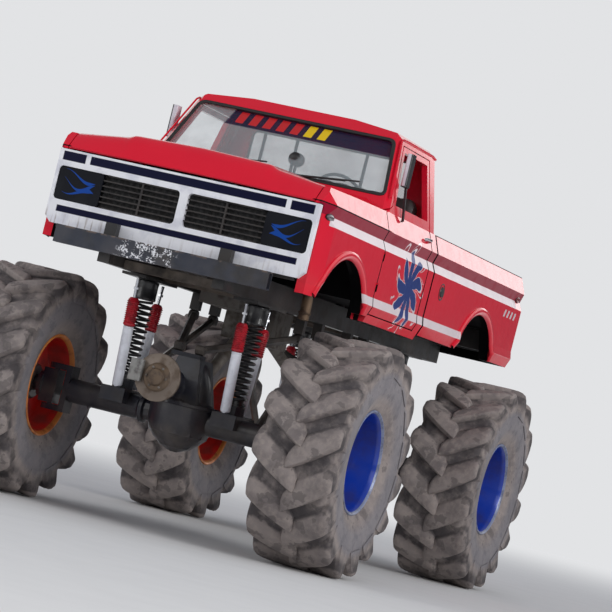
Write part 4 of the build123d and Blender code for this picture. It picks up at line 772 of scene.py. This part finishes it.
# The first four in this order: outside, its lip, inside, its lip
rim_finishes = "rim_blue rim_lip rim_red rim_orange bright_steel axle_black"

for name, centre in wheel_centres.items():
    mirror = 1 if centre.x > 0 else -1
    outward = (mirror, 0, 0)
    bm = bmesh.new()
    for face in lathe(bm, (0, 0, 0), outward, rim_profile, 72):
        middle = face.calc_center_median()
        inside = middle.x * mirror < inside_run
        lip = middle.yz.length > (inner_lip_radius if inside else outer_lip_radius)
        face.material_index = 2 * inside + lip
    lathe(bm, (0, 0, 0), outward, hub_front, 40, 5)
    lathe(bm, (0, 0, 0), outward, hub_back, 40, 5)
    ring_of(bm, (-0.027 * mirror, 0, 0), outward, 0.160, 10, nut_shape, 4)
    ring_of(bm, (0.053 * mirror, 0, 0), outward, 0.080, 8, bolt_shape, 4)
    make_piece(bm, "rim_" + name + "_dish", rim_finishes, "wheel_" + name, "rim_" + name, centre)

# %% [markdown]
# ## Springs and shocks
# Each corner hangs on one long coil of wire under a pressed cap, with a shock absorber ahead of it and
# one behind. The wire is swept along a helix, the dust boots are turned from a zigzag profile, and the
# caps are turned with rolled edges.

# %% Coils and caps
corners = [(side, y) for y in (front_axle_y, rear_axle_y) for side in (1, -1)]
spring_x, spring_low_z, spring_high_z = 0.420, 0.970, 1.530
wire_radius, coil_radius, coil_turns, coil_steps = 0.0095, 0.0655, 13, 18

bm = bmesh.new()
for side, y in corners:
    path = []
    for number in range(coil_turns * coil_steps + 1):
        turn, share = 2 * pi * number / coil_steps, number / (coil_turns * coil_steps)
        z = spring_low_z + wire_radius + (spring_high_z - spring_low_z - 2 * wire_radius) * share
        path.append((side * spring_x + coil_radius * cos(turn), y + coil_radius * sin(turn), z))
    sweep(bm, path, round_section(wire_radius, 8))
make_piece(bm, "spring_wires", "spring_black", stands_for="coil_springs")

cap_profile = mm(
    (0, 0), (0, 70), (4, 77.5), (14, 80), (22, 77.5),
    (110, 76.5), (122, 79), (132, 77.5), (138, 70), (138, 0),
)
foot_profile = mm((0, 0), (0, 70), (6, 76), (12, 74), (16, 58), (60, 52), (60, 0))
bm = bmesh.new()
for side, y in corners:
    lathe(bm, (side * spring_x, y, spring_high_z + 0.0005), (0, 0, 1), cap_profile, 40)
    lathe(bm, (side * spring_x, y, spring_low_z - 0.012), (0, 0, 1), foot_profile, 32)
make_piece(bm, "spring_caps", "spring_black", stands_for="spring_cans")

# %% Shocks
shock_x, shock_foot_z, tower_z = 0.410, 0.900, 1.669
# How far each shock's top and its foot are behind the axle
shock_runs = ((-0.220, -0.130), (0.260, 0.170))
tube_profile = mm(
    (12, 0), (12, 30), (20, 36), (405, 36), (412, 34), (416, 36), (428, 36), (430, 30), (430, 0),
)
eye_profile = mm((-26, 10), (-26, 22), (26, 22), (26, 10), (-26, 10))


def boot_profile(run, radius, folds, end=0.022):
    """A bellows: a zigzag between two radii, closed at both ends."""
    points = [(0, 0), (0, radius * 0.8), (0.008, radius * 0.97), (0.020, radius * 0.97)]
    pitch = (run - 2 * end) / folds
    for number in range(folds):
        for share, part in ((0.15, 0.84), (0.45, 1), (0.65, 1), (0.95, 0.84)):
            points.append((end + pitch * (number + share), radius * part))
    return points + [(run - 0.018, radius * 0.9), (run, radius * 0.6), (run, 0)]


tubes, boots, rods = bmesh.new(), bmesh.new(), bmesh.new()
for side, y in corners:
    for top_run, foot_run in shock_runs:
        foot = Vector((side * shock_x, y + foot_run, shock_foot_z))
        way = (Vector((side * shock_x, y + top_run, tower_z)) - foot).normalized()
        lathe(tubes, foot, way, tube_profile, 28)
        lathe(tubes, foot + way * 0.024, (0, 1, 0), eye_profile, 20)
        lathe(boots, foot + way * 0.432, way, boot_profile(0.198, 0.044, 11), 28)
        lathe(rods, foot + way * 0.632, way, rod(0.010, 0.132), 16)
        lathe(rods, foot + way * 0.690, way, rod(0.019, 0.014), 6)
make_piece(tubes, "shock_tubes", "shock_white", stands_for="shock_bodies")
make_piece(boots, "shock_bellows", "boot_red", stands_for="shock_boots")
make_piece(rods, "shock_shafts", "bright_steel", stands_for="shock_rods")

# %% [markdown]
# ## Pinion brakes
# A disc brake works on each pinion, out in front of the axle. Its swept face is polished in rings and
# rust has stained the hat, so the rings are turned into the disc and the rust is in the finish.

# %% Brake discs
pinion_z, disc_run, hat_radius = 1.030, 0.450, 0.098
disc_profile = mm(
    (-11, 0), (-11, 60), (-11, 98), *((number % 2 - 11, 100 + 6 * number) for number in range(11)),
    (-8, 165), (-2, 165), (-2, 150), (2, 150), (2, 165), (8, 165), (11, 162), (11, 104), (15, 98),
    (26, 92), (30, 85), (30, 60), (36, 56), (48, 54), (52, 48), (52, 0),
)
flange_profile = mm((0, 0), (0, 70), (14, 70), (17, 66), (17, 0))
bm = bmesh.new()
for axle_y, toward in ((front_axle_y, -1), (rear_axle_y, 1)):
    middle, ahead = Vector((0, axle_y + toward * disc_run, pinion_z)), Vector((0, toward, 0))
    for face in lathe(bm, middle, ahead, disc_profile, 64):
        face.material_index = 2 * ((face.calc_center_median() - middle).xz.length < hat_radius)
    lathe(bm, middle - ahead * 0.011, -ahead, flange_profile, 32)
    ring_of(bm, middle + ahead * 0.028, ahead, 0.073, 6, bolt_shape, 1)
make_piece(bm, "pinion_brake_discs", "brake_iron cast_grey brake_hub", stands_for="pinion_brakes")

# %% [markdown]
# ## Hood
# The hood is one pressed sheet: a steep nose, a long gentle slope, and a raised middle with soft edges.
# A grid of points over the stations gives that, and averaging each height with its neighbours rolls
# the creases the way a press does.

# %% Hood sheet
hood_columns = (0, 0.505, 0.545, 0.905)
# Run behind the front axle, and the height at each column
hood_rows = (
    (-0.765, (2.416, 2.414, 2.413, 2.411)),
    (-0.660, (2.598, 2.586, 2.565, 2.522)),
    (-0.100, (2.616, 2.602, 2.580, 2.532)),
    (0.552, (2.628, 2.616, 2.596, 2.540)),
)
hood_sheet, nose_run, nose_lean, hinge_x = 0.016, -0.745, 0.2, 0.230


def hood_height(x, run):
    """The height on the flat facets between the stations."""
    heights = [(row_run, along(list(zip(hood_columns, levels)), abs(x))) for row_run, levels in hood_rows]
    return along(heights, run)


def rolled_height(x, run):
    """The height with its creases rolled over a hand's width."""
    total = 0
    for side_step in (-0.014, 0, 0.014):
        for run_step in (-0.038, -0.019, 0, 0.019, 0.038):
            total += hood_height(abs(x) + side_step if abs(x) > 0.02 else x, run + run_step)
    return total / 15


row_runs = [-0.765 + 0.012 * n for n in range(14)] + [-0.597 + 1.149 * n / 24 for n in range(1, 25)]
half_columns = [0.905, 0.900, 0.88, 0.82, 0.72, 0.64, 0.59, 0.565, 0.55]
half_columns += [0.537, 0.525, 0.512, 0.50, 0.48, 0.44, 0.34, 0.22, 0.11]
columns = half_columns + [0] + [-x for x in reversed(half_columns)]
bm = bmesh.new()
grid = []
for run in row_runs:
    drop = max(0, nose_run - run) * nose_lean
    grid.append([bm.verts.new(at(x, run, rolled_height(x, run) - drop)) for x in columns])
skin = bridge(bm, grid, around=False)
bmesh.ops.recalc_face_normals(bm, faces=skin)
if skin[0].normal.z < 0:
    bmesh.ops.reverse_faces(bm, faces=skin)
bmesh.ops.solidify(bm, geom=skin, thickness=hood_sheet)
for side in (1, -1):
    lathe(bm, at(side * hinge_x - 0.030, 0.564, 2.632), (1, 0, 0), rod(0.006, 0.06), 12)
    hinge_leaf = bmesh.ops.create_cube(bm, size=1)["verts"]
    bmesh.ops.scale(bm, vec=(0.058, 0.024, 0.010), verts=hinge_leaf)
    bmesh.ops.translate(bm, vec=at(side * hinge_x, 0.553, 2.628), verts=hinge_leaf)
make_piece(bm, "hood_sheet", "body_paint", "hood", "hood", crease=50)

# %% [markdown]
# ## Axles
# Each axle is a cast bowl with a dropped-in carrier on a thick tube. The solids give their sizes with
# flat sides; these turned skins lie just over them and add what castings have: a bolted flange, a
# domed top, a drain plug, collars where the tube goes in, and round driveshafts with their yokes.

# %% Axle castings
bowl_x, bowl_top_z, collar_x, tube_radius = 0.060, axle_z + 0.095, 0.20, 0.084
bowl_profile = mm(
    (-8, 0), (-8, 245), (12, 247), (16, 236), (85, 233), (150, 226), (205, 205), (255, 165), (290, 118),
    (312, 70), (322, 36), (324, 30), (336, 28), (336, 0),
)
dome_profile = mm(
    (-5, 0), (-5, 215), (14, 215), (18, 200), (30, 186), (110, 172), (200, 140), (265, 112), (296, 92),
    (304, 50), (304, 0),
)
tube_collar = mm((0, 0), (0, 84), (10, 98), (35, 100), (45, 88), (55, 84))
snout_profile = mm((150, 0), (150, 84), (220, 81), (232, 92), (248, 92), (252, 81), (276, 80), (276, 0))
flange_bolt = mm((-4, 0)) + bolt_shape

for name, axle_y, tube_reach in (("front_axle", front_axle_y, 0.785), ("rear_axle", rear_axle_y, 1.050)):
    bm = bmesh.new()
    run = tube_reach - collar_x
    for side in (1, -1):
        tube = tube_collar + [(run, tube_radius), (run, 0)]
        lathe(bm, (side * collar_x, axle_y, axle_z), (side, 0, 0), tube, 36)
        lathe(bm, (0, axle_y, pinion_z), (0, side, 0), snout_profile, 32)
    middle = Vector((bowl_x, axle_y, bowl_top_z))
    lathe(bm, middle, (0, 0, -1), bowl_profile, 56)
    lathe(bm, middle, (0, 0, 1), dome_profile, 48)
    ring_of(bm, middle + Vector((0, 0, 0.008)), (0, 0, 1), 0.236, 14, flange_bolt)
    make_piece(bm, name + "_castings", "axle_black")

# %% Driveshafts
output_z, cross_half = 1.520, 0.056
joint_profile = mm((0, 0), (0, 30), (30, 46), (70, 50), (85, 43))
sleeve_marks = ((0.45, 0.043), (0.46, 0.047), (0.62, 0.047), (0.63, 0.043))
yoke_profile = mm((-35, 0), (-35, 58), (-20, 60), (-12, 52), (12, 50), (34, 36), (34, 0))
shaft_ends = ((0.3153, 0.965, 1), (wheelbase - 0.3153, 1.4126, -1))
bm = bmesh.new()
for start_run, end_run, toward in shaft_ends:
    start, end = at(0, start_run, pinion_z), at(0, end_run, output_z)
    reach = (end - start).length
    profile = joint_profile + [(reach * share, radius) for share, radius in sleeve_marks]
    profile += [(reach - run, radius) for run, radius in reversed(joint_profile)]
    lathe(bm, start, end - start, profile, 32)
    lathe(bm, start, (0, toward, 0), yoke_profile, 24)
    lathe(bm, end, (0, -toward, 0), yoke_profile, 24)
    for middle in (start, end):
        lathe(bm, middle - Vector((cross_half, 0, 0)), (1, 0, 0), rod(0.018, 2 * cross_half), 16)
make_piece(bm, "shaft_tubes", "cast_grey", stands_for="driveshafts")

# %% [markdown]
# ## Cab and body trim
# Small things make the sheet metal read as a real body: rolled lips round the wheel arches, rubber
# round the glass, a gutter along the roof, lamps and a filler let into the sides. Each follows the
# body's side section, so one function gives the body's half width at any height.

# %% The body's side and the arch lips
# Height and half width, and near the front, run behind the front axle and half width
side_marks = (
    (1.750, 0.965), (1.868, 1.012), (1.928, 1.000), (2.272, 1.005),
    (2.335, 0.975), (2.411, 0.998), (2.545, 0.945),
)
front_taper = ((-0.763, 0.954), (-0.520, 1.002), (-0.300, 1.014))
lip_section = mm((-20, -6), (-17, 8), (-6, 16), (10, 18), (28, 13), (42, 4), (46, -5))
lip_stand, lip_steps = 0.014, 40


def on_side(run, z, stand=0.0):
    """A place on the body's left side, or standing out from it."""
    half = along(side_marks, z)
    if run < front_taper[-1][0]:
        half = min(half, along(front_taper, run))
    return at(half + stand, run, z)


bm = bmesh.new()
for (middle, middle_z, radius), low_turn in ((front_arch, 25), (rear_arch, 26)):
    path = []
    for number in range(lip_steps + 1):
        turn = radians(low_turn + (180 - 2 * low_turn) * number / lip_steps)
        run = middle - (radius + lip_stand) * cos(turn)
        path.append(on_side(run, middle_z + (radius + lip_stand) * sin(turn), 0.001))
    for side in (1, -1):
        side_sweep(bm, side, path, lip_section)
make_piece(bm, "arch_lips", "body_paint")

# %% Rubber round the glass, and bars on the sliding rear window
screen_low_z, screen_slope, rear_wall = 2.630, 0.290 / 0.468, 1.868
seal_section = mm((-14, -4), (-12, 4), (-5, 8), (5, 8), (12, 3), (13, -4))
bar_section = mm((-11, -9), (11, -9), (11, 4), (6, 9), (-6, 9), (-11, 4))


def on_screen(x, z, stand=0.002):
    """A place on the slanted windshield, or ahead of it."""
    return at(x, 0.700 + screen_slope * (z - screen_low_z) - stand, z)


def on_rear_wall(x, z):
    return at(x, rear_wall + 0.004 + 0.014 * (z - 2.640) / 0.395, z)


def rounded_loop(place, low, high, radius, steps=6):
    """A closed path with four rounded corners; low and high give (half width, height) of its edges."""
    marks = zip((-1, 1, 1, -1), (low, low, high, high))
    corners = [Vector(place(side * half, z)) for side, (half, z) in marks]
    path = []
    for number, corner in enumerate(corners):
        before = (corners[number - 1] - corner).normalized() * radius
        after = (corners[(number + 1) % 4] - corner).normalized() * radius
        for step in range(steps + 1):
            share = step / steps
            path.append(corner + before * (1 - share) ** 2 + after * share ** 2)
    return path


bm = bmesh.new()
loop = rounded_loop(on_screen, (0.868, 2.657), (0.762, 3.080), 0.05)
sweep(bm, loop, seal_section, (0, -1, screen_slope), True)
loop = rounded_loop(on_rear_wall, (0.66, 2.640), (0.66, 3.035), 0.05)
sweep(bm, loop, seal_section, (0, 1, 0), True)
make_piece(bm, "glass_seals", "black_rubber")

bm = bmesh.new()
for x in (-0.55, -0.285, 0.285, 0.55):
    sweep(bm, [at(x, rear_wall - 0.020, 2.645), at(x, rear_wall - 0.010, 3.030)], bar_section, (0, -1, 0))
make_piece(bm, "rear_window_bars", "dark_plastic")

# %% Roof gutters, wipers, tachometer pod
gutter_section = mm((-7, -4), (7, -4), (9, 4), (4, 6), (-4, 6), (-7, 2))
gutter_marks = (
    (0.921, 0.716, 2.650), (0.811, 0.994, 3.085), (0.808, 1.030, 3.102),
    (0.806, 1.10, 3.106), (0.806, 1.80, 3.106), (0.810, 1.872, 3.092),
)
bm = bmesh.new()
for side in (1, -1):
    side_sweep(bm, side, [at(*mark) for mark in gutter_marks], gutter_section)
make_piece(bm, "roof_gutters", "body_paint")

blade_length, blade_steps = 0.46, 8
blade_section = mm((-6, -4), (6, -4), (3, 12), (-3, 12))
pivot_profile = mm((0, 0), (0, 16), (12, 16), (18, 9), (26, 9), (26, 0))
bm = bmesh.new()
for pivot_x, tip_x in ((0.10, 0.66), (-0.62, -0.06)):
    pivot, reach = on_screen(pivot_x, 2.652, 0.024), on_screen(tip_x - 0.10, 2.700, 0.022)
    blade = []
    for number in range(blade_steps + 1):
        share = number / blade_steps
        blade.append(on_screen(tip_x - blade_length * (1 - share), 2.668 + 0.05 * share, 0.016))
    elbow = (pivot + reach) / 2 + Vector((0, -0.012, 0))
    sweep(bm, [pivot, elbow, reach], round_section(0.006), (0, -1, 0))
    sweep(bm, blade, blade_section, (0, -1, 0))
    lathe(bm, pivot + Vector((0, 0.015, -0.010)), (0, -0.75, 0.66), pivot_profile, 20)
make_piece(bm, "wipers", "black_rubber")

pod_x, pod_run, dash_top_z = 0.100, 0.900, 2.602
bm = bmesh.new()
pod_profile = mm((-30, 0), (-30, 45), (-26, 51), (50, 50), (75, 38), (85, 20), (85, 0))
lathe(bm, at(pod_x, pod_run, 2.790), (0, -1, 0), pod_profile, 32)
sweep(bm, [at(pod_x, pod_run, z) for z in (dash_top_z, 2.66, 2.75)], round_section(0.011), (0, 1, 0))
foot_profile = mm((0, 0), (0, 30), (6, 28), (10, 14), (10, 0))
lathe(bm, at(pod_x, pod_run, dash_top_z), (0, 0, 1), foot_profile, 20)
make_piece(bm, "tachometer_pod", "dark_plastic")

# %% Side markers and fuel filler
# Run of each ring from the side, and its share of the lens's half length and half height
lens_profile = (
    (-0.004, 0), (-0.004, 1.0), (0.004, 1.0), (0.007, 0.92),
    (0.005, 0.84), (0.009, 0.78), (0.013, 0.4), (0.014, 0),
)
lens_sides, bezel_rings = 28, 3


def side_lens(bm, side, run, z, half_length, half_height, lens_finish):
    """An oval lens in a bezel, let into the side."""
    middle = on_side(run, z)
    faces = lathe(bm, (0, 0, 0), (side, 0, 0), lens_profile, lens_sides)
    for vert in {vert for face in faces for vert in face.verts}:
        x, y, up = vert.co
        vert.co = (side * middle.x + x, middle.y + y * half_length, z + up * half_height)
    for face in faces[bezel_rings * lens_sides:]:
        face.material_index = lens_finish


bm = bmesh.new()
for side in (1, -1):
    side_lens(bm, side, -0.600, 2.325, 0.080, 0.024, 1)
    side_lens(bm, side, tail_run - 0.105, 2.352, 0.062, 0.027, 2)
make_piece(bm, "side_markers", "dark_plastic lens_grey lamp_red")

filler_profile = mm(
    (-6, 0), (-6, 66), (2, 66), (4, 60), (0, 54), (-3, 44), (2, 40), (8, 36), (12, 14), (12, 0),
)
bm = bmesh.new()
lathe(bm, on_side(2.175, 2.157), (1, 0, 0), filler_profile, 36)
make_piece(bm, "fuel_filler", "dark_plastic")

# %% Handles and tailgate ribs
handle_section = mm((-12, -4), (-10, 3), (0, 6), (10, 3), (12, -4), (0, -6))
# Run of each place along a door handle, and how far it stands out
handle_marks = mm((1545, 0), (1552, 14), (1575, 22), (1610, 24), (1645, 22), (1668, 14), (1675, 0))
for name, side in (("left", 1), ("right", -1)):
    bm = bmesh.new()
    path = []
    for run, stand in handle_marks:
        path.append(on_side(run, 2.470, 0.004 + stand) + Vector((0, 0, stand * 0.4)))
    side_sweep(bm, side, path, handle_section)
    make_piece(bm, "door_handle_" + name, "bright_steel", "door_" + name)

rib_run, gate_run = tail_run - 0.0185, tail_run - 0.0065
rib_ends = [((-0.74, z), (0.74, z)) for z in (2.130, 2.440)]
rib_ends += [((x, 2.120), (x, 2.450)) for x in (-0.745, 0.745)]
bm = bmesh.new()
for ends in rib_ends:
    sweep(bm, [at(x, rib_run, z) for x, z in ends], lip_section, (0, 1, 0))
make_piece(bm, "tailgate_ribs", "body_paint", "tailgate")
bm = bmesh.new()
loop = rounded_loop(lambda x, z: at(x, gate_run, z), (0.09, 2.475), (0.09, 2.515), 0.012)
sweep(bm, loop, handle_section, (0, 1, 0), True)
sweep(bm, [at(x, gate_run, 2.495) for x in (-0.070, 0.070)], handle_section, (0, 1, 0))
make_piece(bm, "tailgate_handle", "bright_steel", "tailgate")

# %% [markdown]
# ## Behind the grille and under the fender
# Behind the bars stands a near-black folded sheet: the radiator's fins, and painted shade behind the
# grille. It keeps the bars from showing red sheet metal through their gaps. A collector pipe comes down
# from the engine on the left; it is swept along a smooth curve through a few measured places.

# %% Finned core
fin_pitch, core_half, core_run, core_low_z, core_height, core_rows = 0.024, 0.925, -0.735, 2.025, 0.265, 8
fold, ripple = 0.010, 0.004
count = round(2 * core_half / fin_pitch)
bm = bmesh.new()
columns = []
for number in range(count + 1):
    x = -core_half + 2 * core_half * number / count
    column = []
    for row in range(core_rows + 1):
        run = core_run + fold * (number % 2) + ripple * (-1) ** row
        column.append(bm.verts.new(at(x, run, core_low_z + core_height * row / core_rows)))
    columns.append(column)
skin = bridge(bm, columns, around=False)
bmesh.ops.recalc_face_normals(bm, faces=skin)
bmesh.ops.solidify(bm, geom=skin, thickness=0.002)
# The near-black sheet is both the fins and painted shade behind the bars.
make_piece(bm, "finned_core", "core_black")

# %% Collector pipe
pipe_marks = [at(*mark) for mark in (
    (0.42, 0.10, 2.06), (0.55, 0.06, 2.02), (0.68, -0.01, 1.93),
    (0.77, -0.08, 1.82), (0.80, -0.13, 1.72), (0.805, -0.15, 1.645),
)]
pipe_end = pipe_marks[-1]
pipe_marks = [pipe_marks[0], *pipe_marks, pipe_end]
steps_a_span = 6
path = []
for a, b, c, d in zip(pipe_marks, pipe_marks[1:], pipe_marks[2:], pipe_marks[3:]):
    for step in range(steps_a_span):
        s = step / steps_a_span
        bend = (2 * a - 5 * b + 4 * c - d) * s**2 + (3 * b - a - 3 * c + d) * s**3
        path.append(0.5 * (2 * b + (c - a) * s + bend))
path.append(pipe_end)
bm = bmesh.new()
sweep(bm, path, round_section(0.036, 20), (0, 1, 0))
outlet_profile = mm((0, 0), (0, 45), (12, 45), (14, 38), (52, 38), (52, 30), (20, 28), (20, 0))
lathe(bm, pipe_end + Vector((0, 0, 0.05)), (0, 0, -1), outlet_profile, 24)
make_piece(bm, "collector_pipe", "rusty_steel")

# %% [markdown]
# ## Cab inside
# Through the glass one sees a bench seat and a steering wheel. The bench is two padded forms with
# sewn channels, each a rounded block whose surface is pushed out between its seams.

# %% Bench seat
def padded_form(name, middle, size, channels, lean=0.0):
    """A rounded cushion with sewn channels across its width."""
    bm = bmesh.new()
    half = Vector(size) / 2
    bmesh.ops.create_cube(bm, size=2)
    for axis, cuts in enumerate((63, 13, 7)):
        chosen = [e for e in bm.edges if abs((e.verts[0].co - e.verts[1].co)[axis]) > 1.9]
        bmesh.ops.subdivide_edges(bm, edges=chosen, cuts=cuts, use_grid_fill=True)
    for vert in bm.verts:
        x, y, z = vert.co
        reach = (abs(y) ** 4 + abs(z) ** 4) ** 0.25
        spread = max(abs(y), abs(z)) / reach if reach else 1
        rounded_end = 1 - 0.10 * max(0, (abs(x) - 0.94) / 0.06) ** 2
        crown = 1 + 0.05 * (1 - x * x)
        puff = 0.94 + 0.06 * abs(sin(pi * channels * (x + 1) / 2)) ** 0.4
        full = spread * puff * rounded_end
        tall = z * full * crown * half.z
        vert.co = (x * half.x, y * full * half.y + lean * tall, tall)
    piece = make_piece(bm, name, "seat_vinyl", place=middle)
    return piece


padded_form("bench_base", at(0, 1.443, 2.075), (1.58, 0.52, 0.30), 12)
bench_back = padded_form("bench_back", at(0, 1.703, 2.460), (1.58, 0.15, 0.58), 12, 0.12)
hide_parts("seat")

# %% Steering wheel
wheel_lean = radians(32)
column_way = Vector((0, cos(wheel_lean), sin(wheel_lean)))
column_foot = at(0.400, 0.9103, 2.470)
ring_middle = column_foot + column_way * 0.232
grip = [(u, 0.192 + v) for u, v in round_section(0.012)]
column_profile = mm((60.3, 0), (60.3, 23), (200, 23), (205, 34), (225, 46), (240, 42), (246, 0))
spoke_section = mm((-16, -3), (16, -3), (16, 3), (-16, 3))
across = column_way.cross(Vector((1, 0, 0)))
bm = bmesh.new()
lathe(bm, ring_middle, column_way, grip + [grip[0]], 56)
lathe(bm, column_foot, column_way, column_profile, 32)
for turn in turns(3, 0.75):
    spoke = Vector((cos(turn), 0, 0)) + across * sin(turn)
    sweep(bm, [ring_middle + spoke * 0.03, ring_middle + spoke * 0.188], spoke_section, column_way)
make_piece(bm, "steering_wheel_rim", "dark_plastic", stands_for="steering_wheel")

# %% [markdown]
# ## Engine bay
# With the hood up one looks down on the engine. Its solid is one closed shape, so the covers on its
# two banks, the round air cleaner and the fan with its belt are added here, where they are seen.

# %% Covers and air cleaner
half_cover = mm((78, -4), (78, 6), (68, 8), (66, 44), (50, 58))
cover_section = [(-u, v) for u, v in half_cover] + half_cover[::-1]
rib_section = mm((-5, -4), (-4, 6), (4, 6), (5, -4))
cap_profile = mm((0, 0), (0, 22), (16, 22), (20, 18), (20, 0))
reach = Vector((0, 0.31, 0))
bm = bmesh.new()
for side in (1, -1):
    out, down = Vector((side * 0.81, 0, 0.58)), Vector((side * 0.58, 0, -0.81))
    middle = at(side * 0.281, -0.04, 2.260)
    sweep(bm, [middle - reach, middle + reach], cover_section, out)
    for shift in (-0.036, -0.018, 0, 0.018, 0.036):
        line = middle + out * 0.058 + down * shift
        sweep(bm, [line - reach * 0.86, line + reach * 0.86], rib_section, out)
    lathe(bm, middle + out * 0.056 + reach * 0.7 * side, out, cap_profile, 20)
make_piece(bm, "engine_covers", "shock_white")

cleaner_profile = mm(
    (-2, 0), (-2, 115), (18, 95), (45, 90), (50, 180), (54, 190), (60, 192), (64, 184), (110, 184),
    (114, 192), (120, 190), (130, 165), (136, 60), (134, 30), (138, 16), (150, 16), (152, 0),
)
bm = bmesh.new()
lathe(bm, at(0, -0.05, 2.400), (0, 0, 1), cleaner_profile, 64)
make_piece(bm, "air_cleaner", "bright_steel")

# %% Fan and belt
fan_middle, crank_z, blade_count, belt_run = at(0, -0.470, 2.120), 1.960, 6, -0.423
hub_profile = mm(
    (-14, 0), (-14, 46), (6, 50), (12, 62), (40, 62), (44, 54), (50, 62), (70, 62), (71, 0),
)
pulley_profile = mm((0, 0), (0, 88), (18, 88), (22, 80), (26, 88), (36, 88), (36, 0))
fan_section = mm((-30, -1.2), (30, -1.2), (32, 1.2), (-28, 1.2))
belt_section = mm((-6, -4), (6, -4), (5, 4), (-5, 4))
bm = bmesh.new()
lathe(bm, fan_middle, (0, 1, 0), hub_profile, 32)
for turn in turns(blade_count):
    spoke = Vector((cos(turn), 0, sin(turn)))
    pitch = spoke.cross(Vector((0, 1, 0))) * 0.42 + Vector((0, 0.9, 0))
    sweep(bm, [fan_middle + spoke * run for run in (0.040, 0.10, 0.16, 0.205)], fan_section, pitch)
lathe(bm, at(0, -0.399, crank_z), (0, -1, 0), pulley_profile, 36)
make_piece(bm, "cooling_fan", "cast_grey")

bm = bmesh.new()
belt = []
for turn in turns(40):
    radius, middle_z = (0.066, fan_middle.z) if sin(turn) >= 0 else (0.084, crank_z)
    belt.append(at(radius * cos(turn), belt_run, middle_z + radius * sin(turn)))
sweep(bm, belt, belt_section, (0, 1, 0), True)
make_piece(bm, "fan_belt", "black_rubber")

# %% [markdown]
# ## Edges
# No real plate has a perfectly sharp edge. A small bevel on the CAD pieces catches the light along
# their edges; it is a modifier, so the solids underneath stay as they are.

# %% Small bevels on the solids
edge_widths = {
    0.004: "bed_sills crossmembers fender_left fender_right door_left door_right suspension_links",
    0.005: "bumper_brackets knuckle_left knuckle_right lamp_covers bed mirror_left mirror_right",
    0.006: "frame_rails front_axle rear_axle brake_calipers grille_surround tailgate",
    0.007: "front_bumper", 0.010: "gearbox", 0.012: "engine_block",
    0.014: "transfer_case cab", 0.015: "dashboard",
}
for width, names in edge_widths.items():
    for name in names.split():
        bevel = nodes[name].modifiers.new("edges", "BEVEL")
        bevel.width, bevel.segments = width, 2
        bevel.limit_method, bevel.angle_limit = "ANGLE", radians(25)
print("bevels on", sum(len(names.split()) for names in edge_widths.values()), "solids")
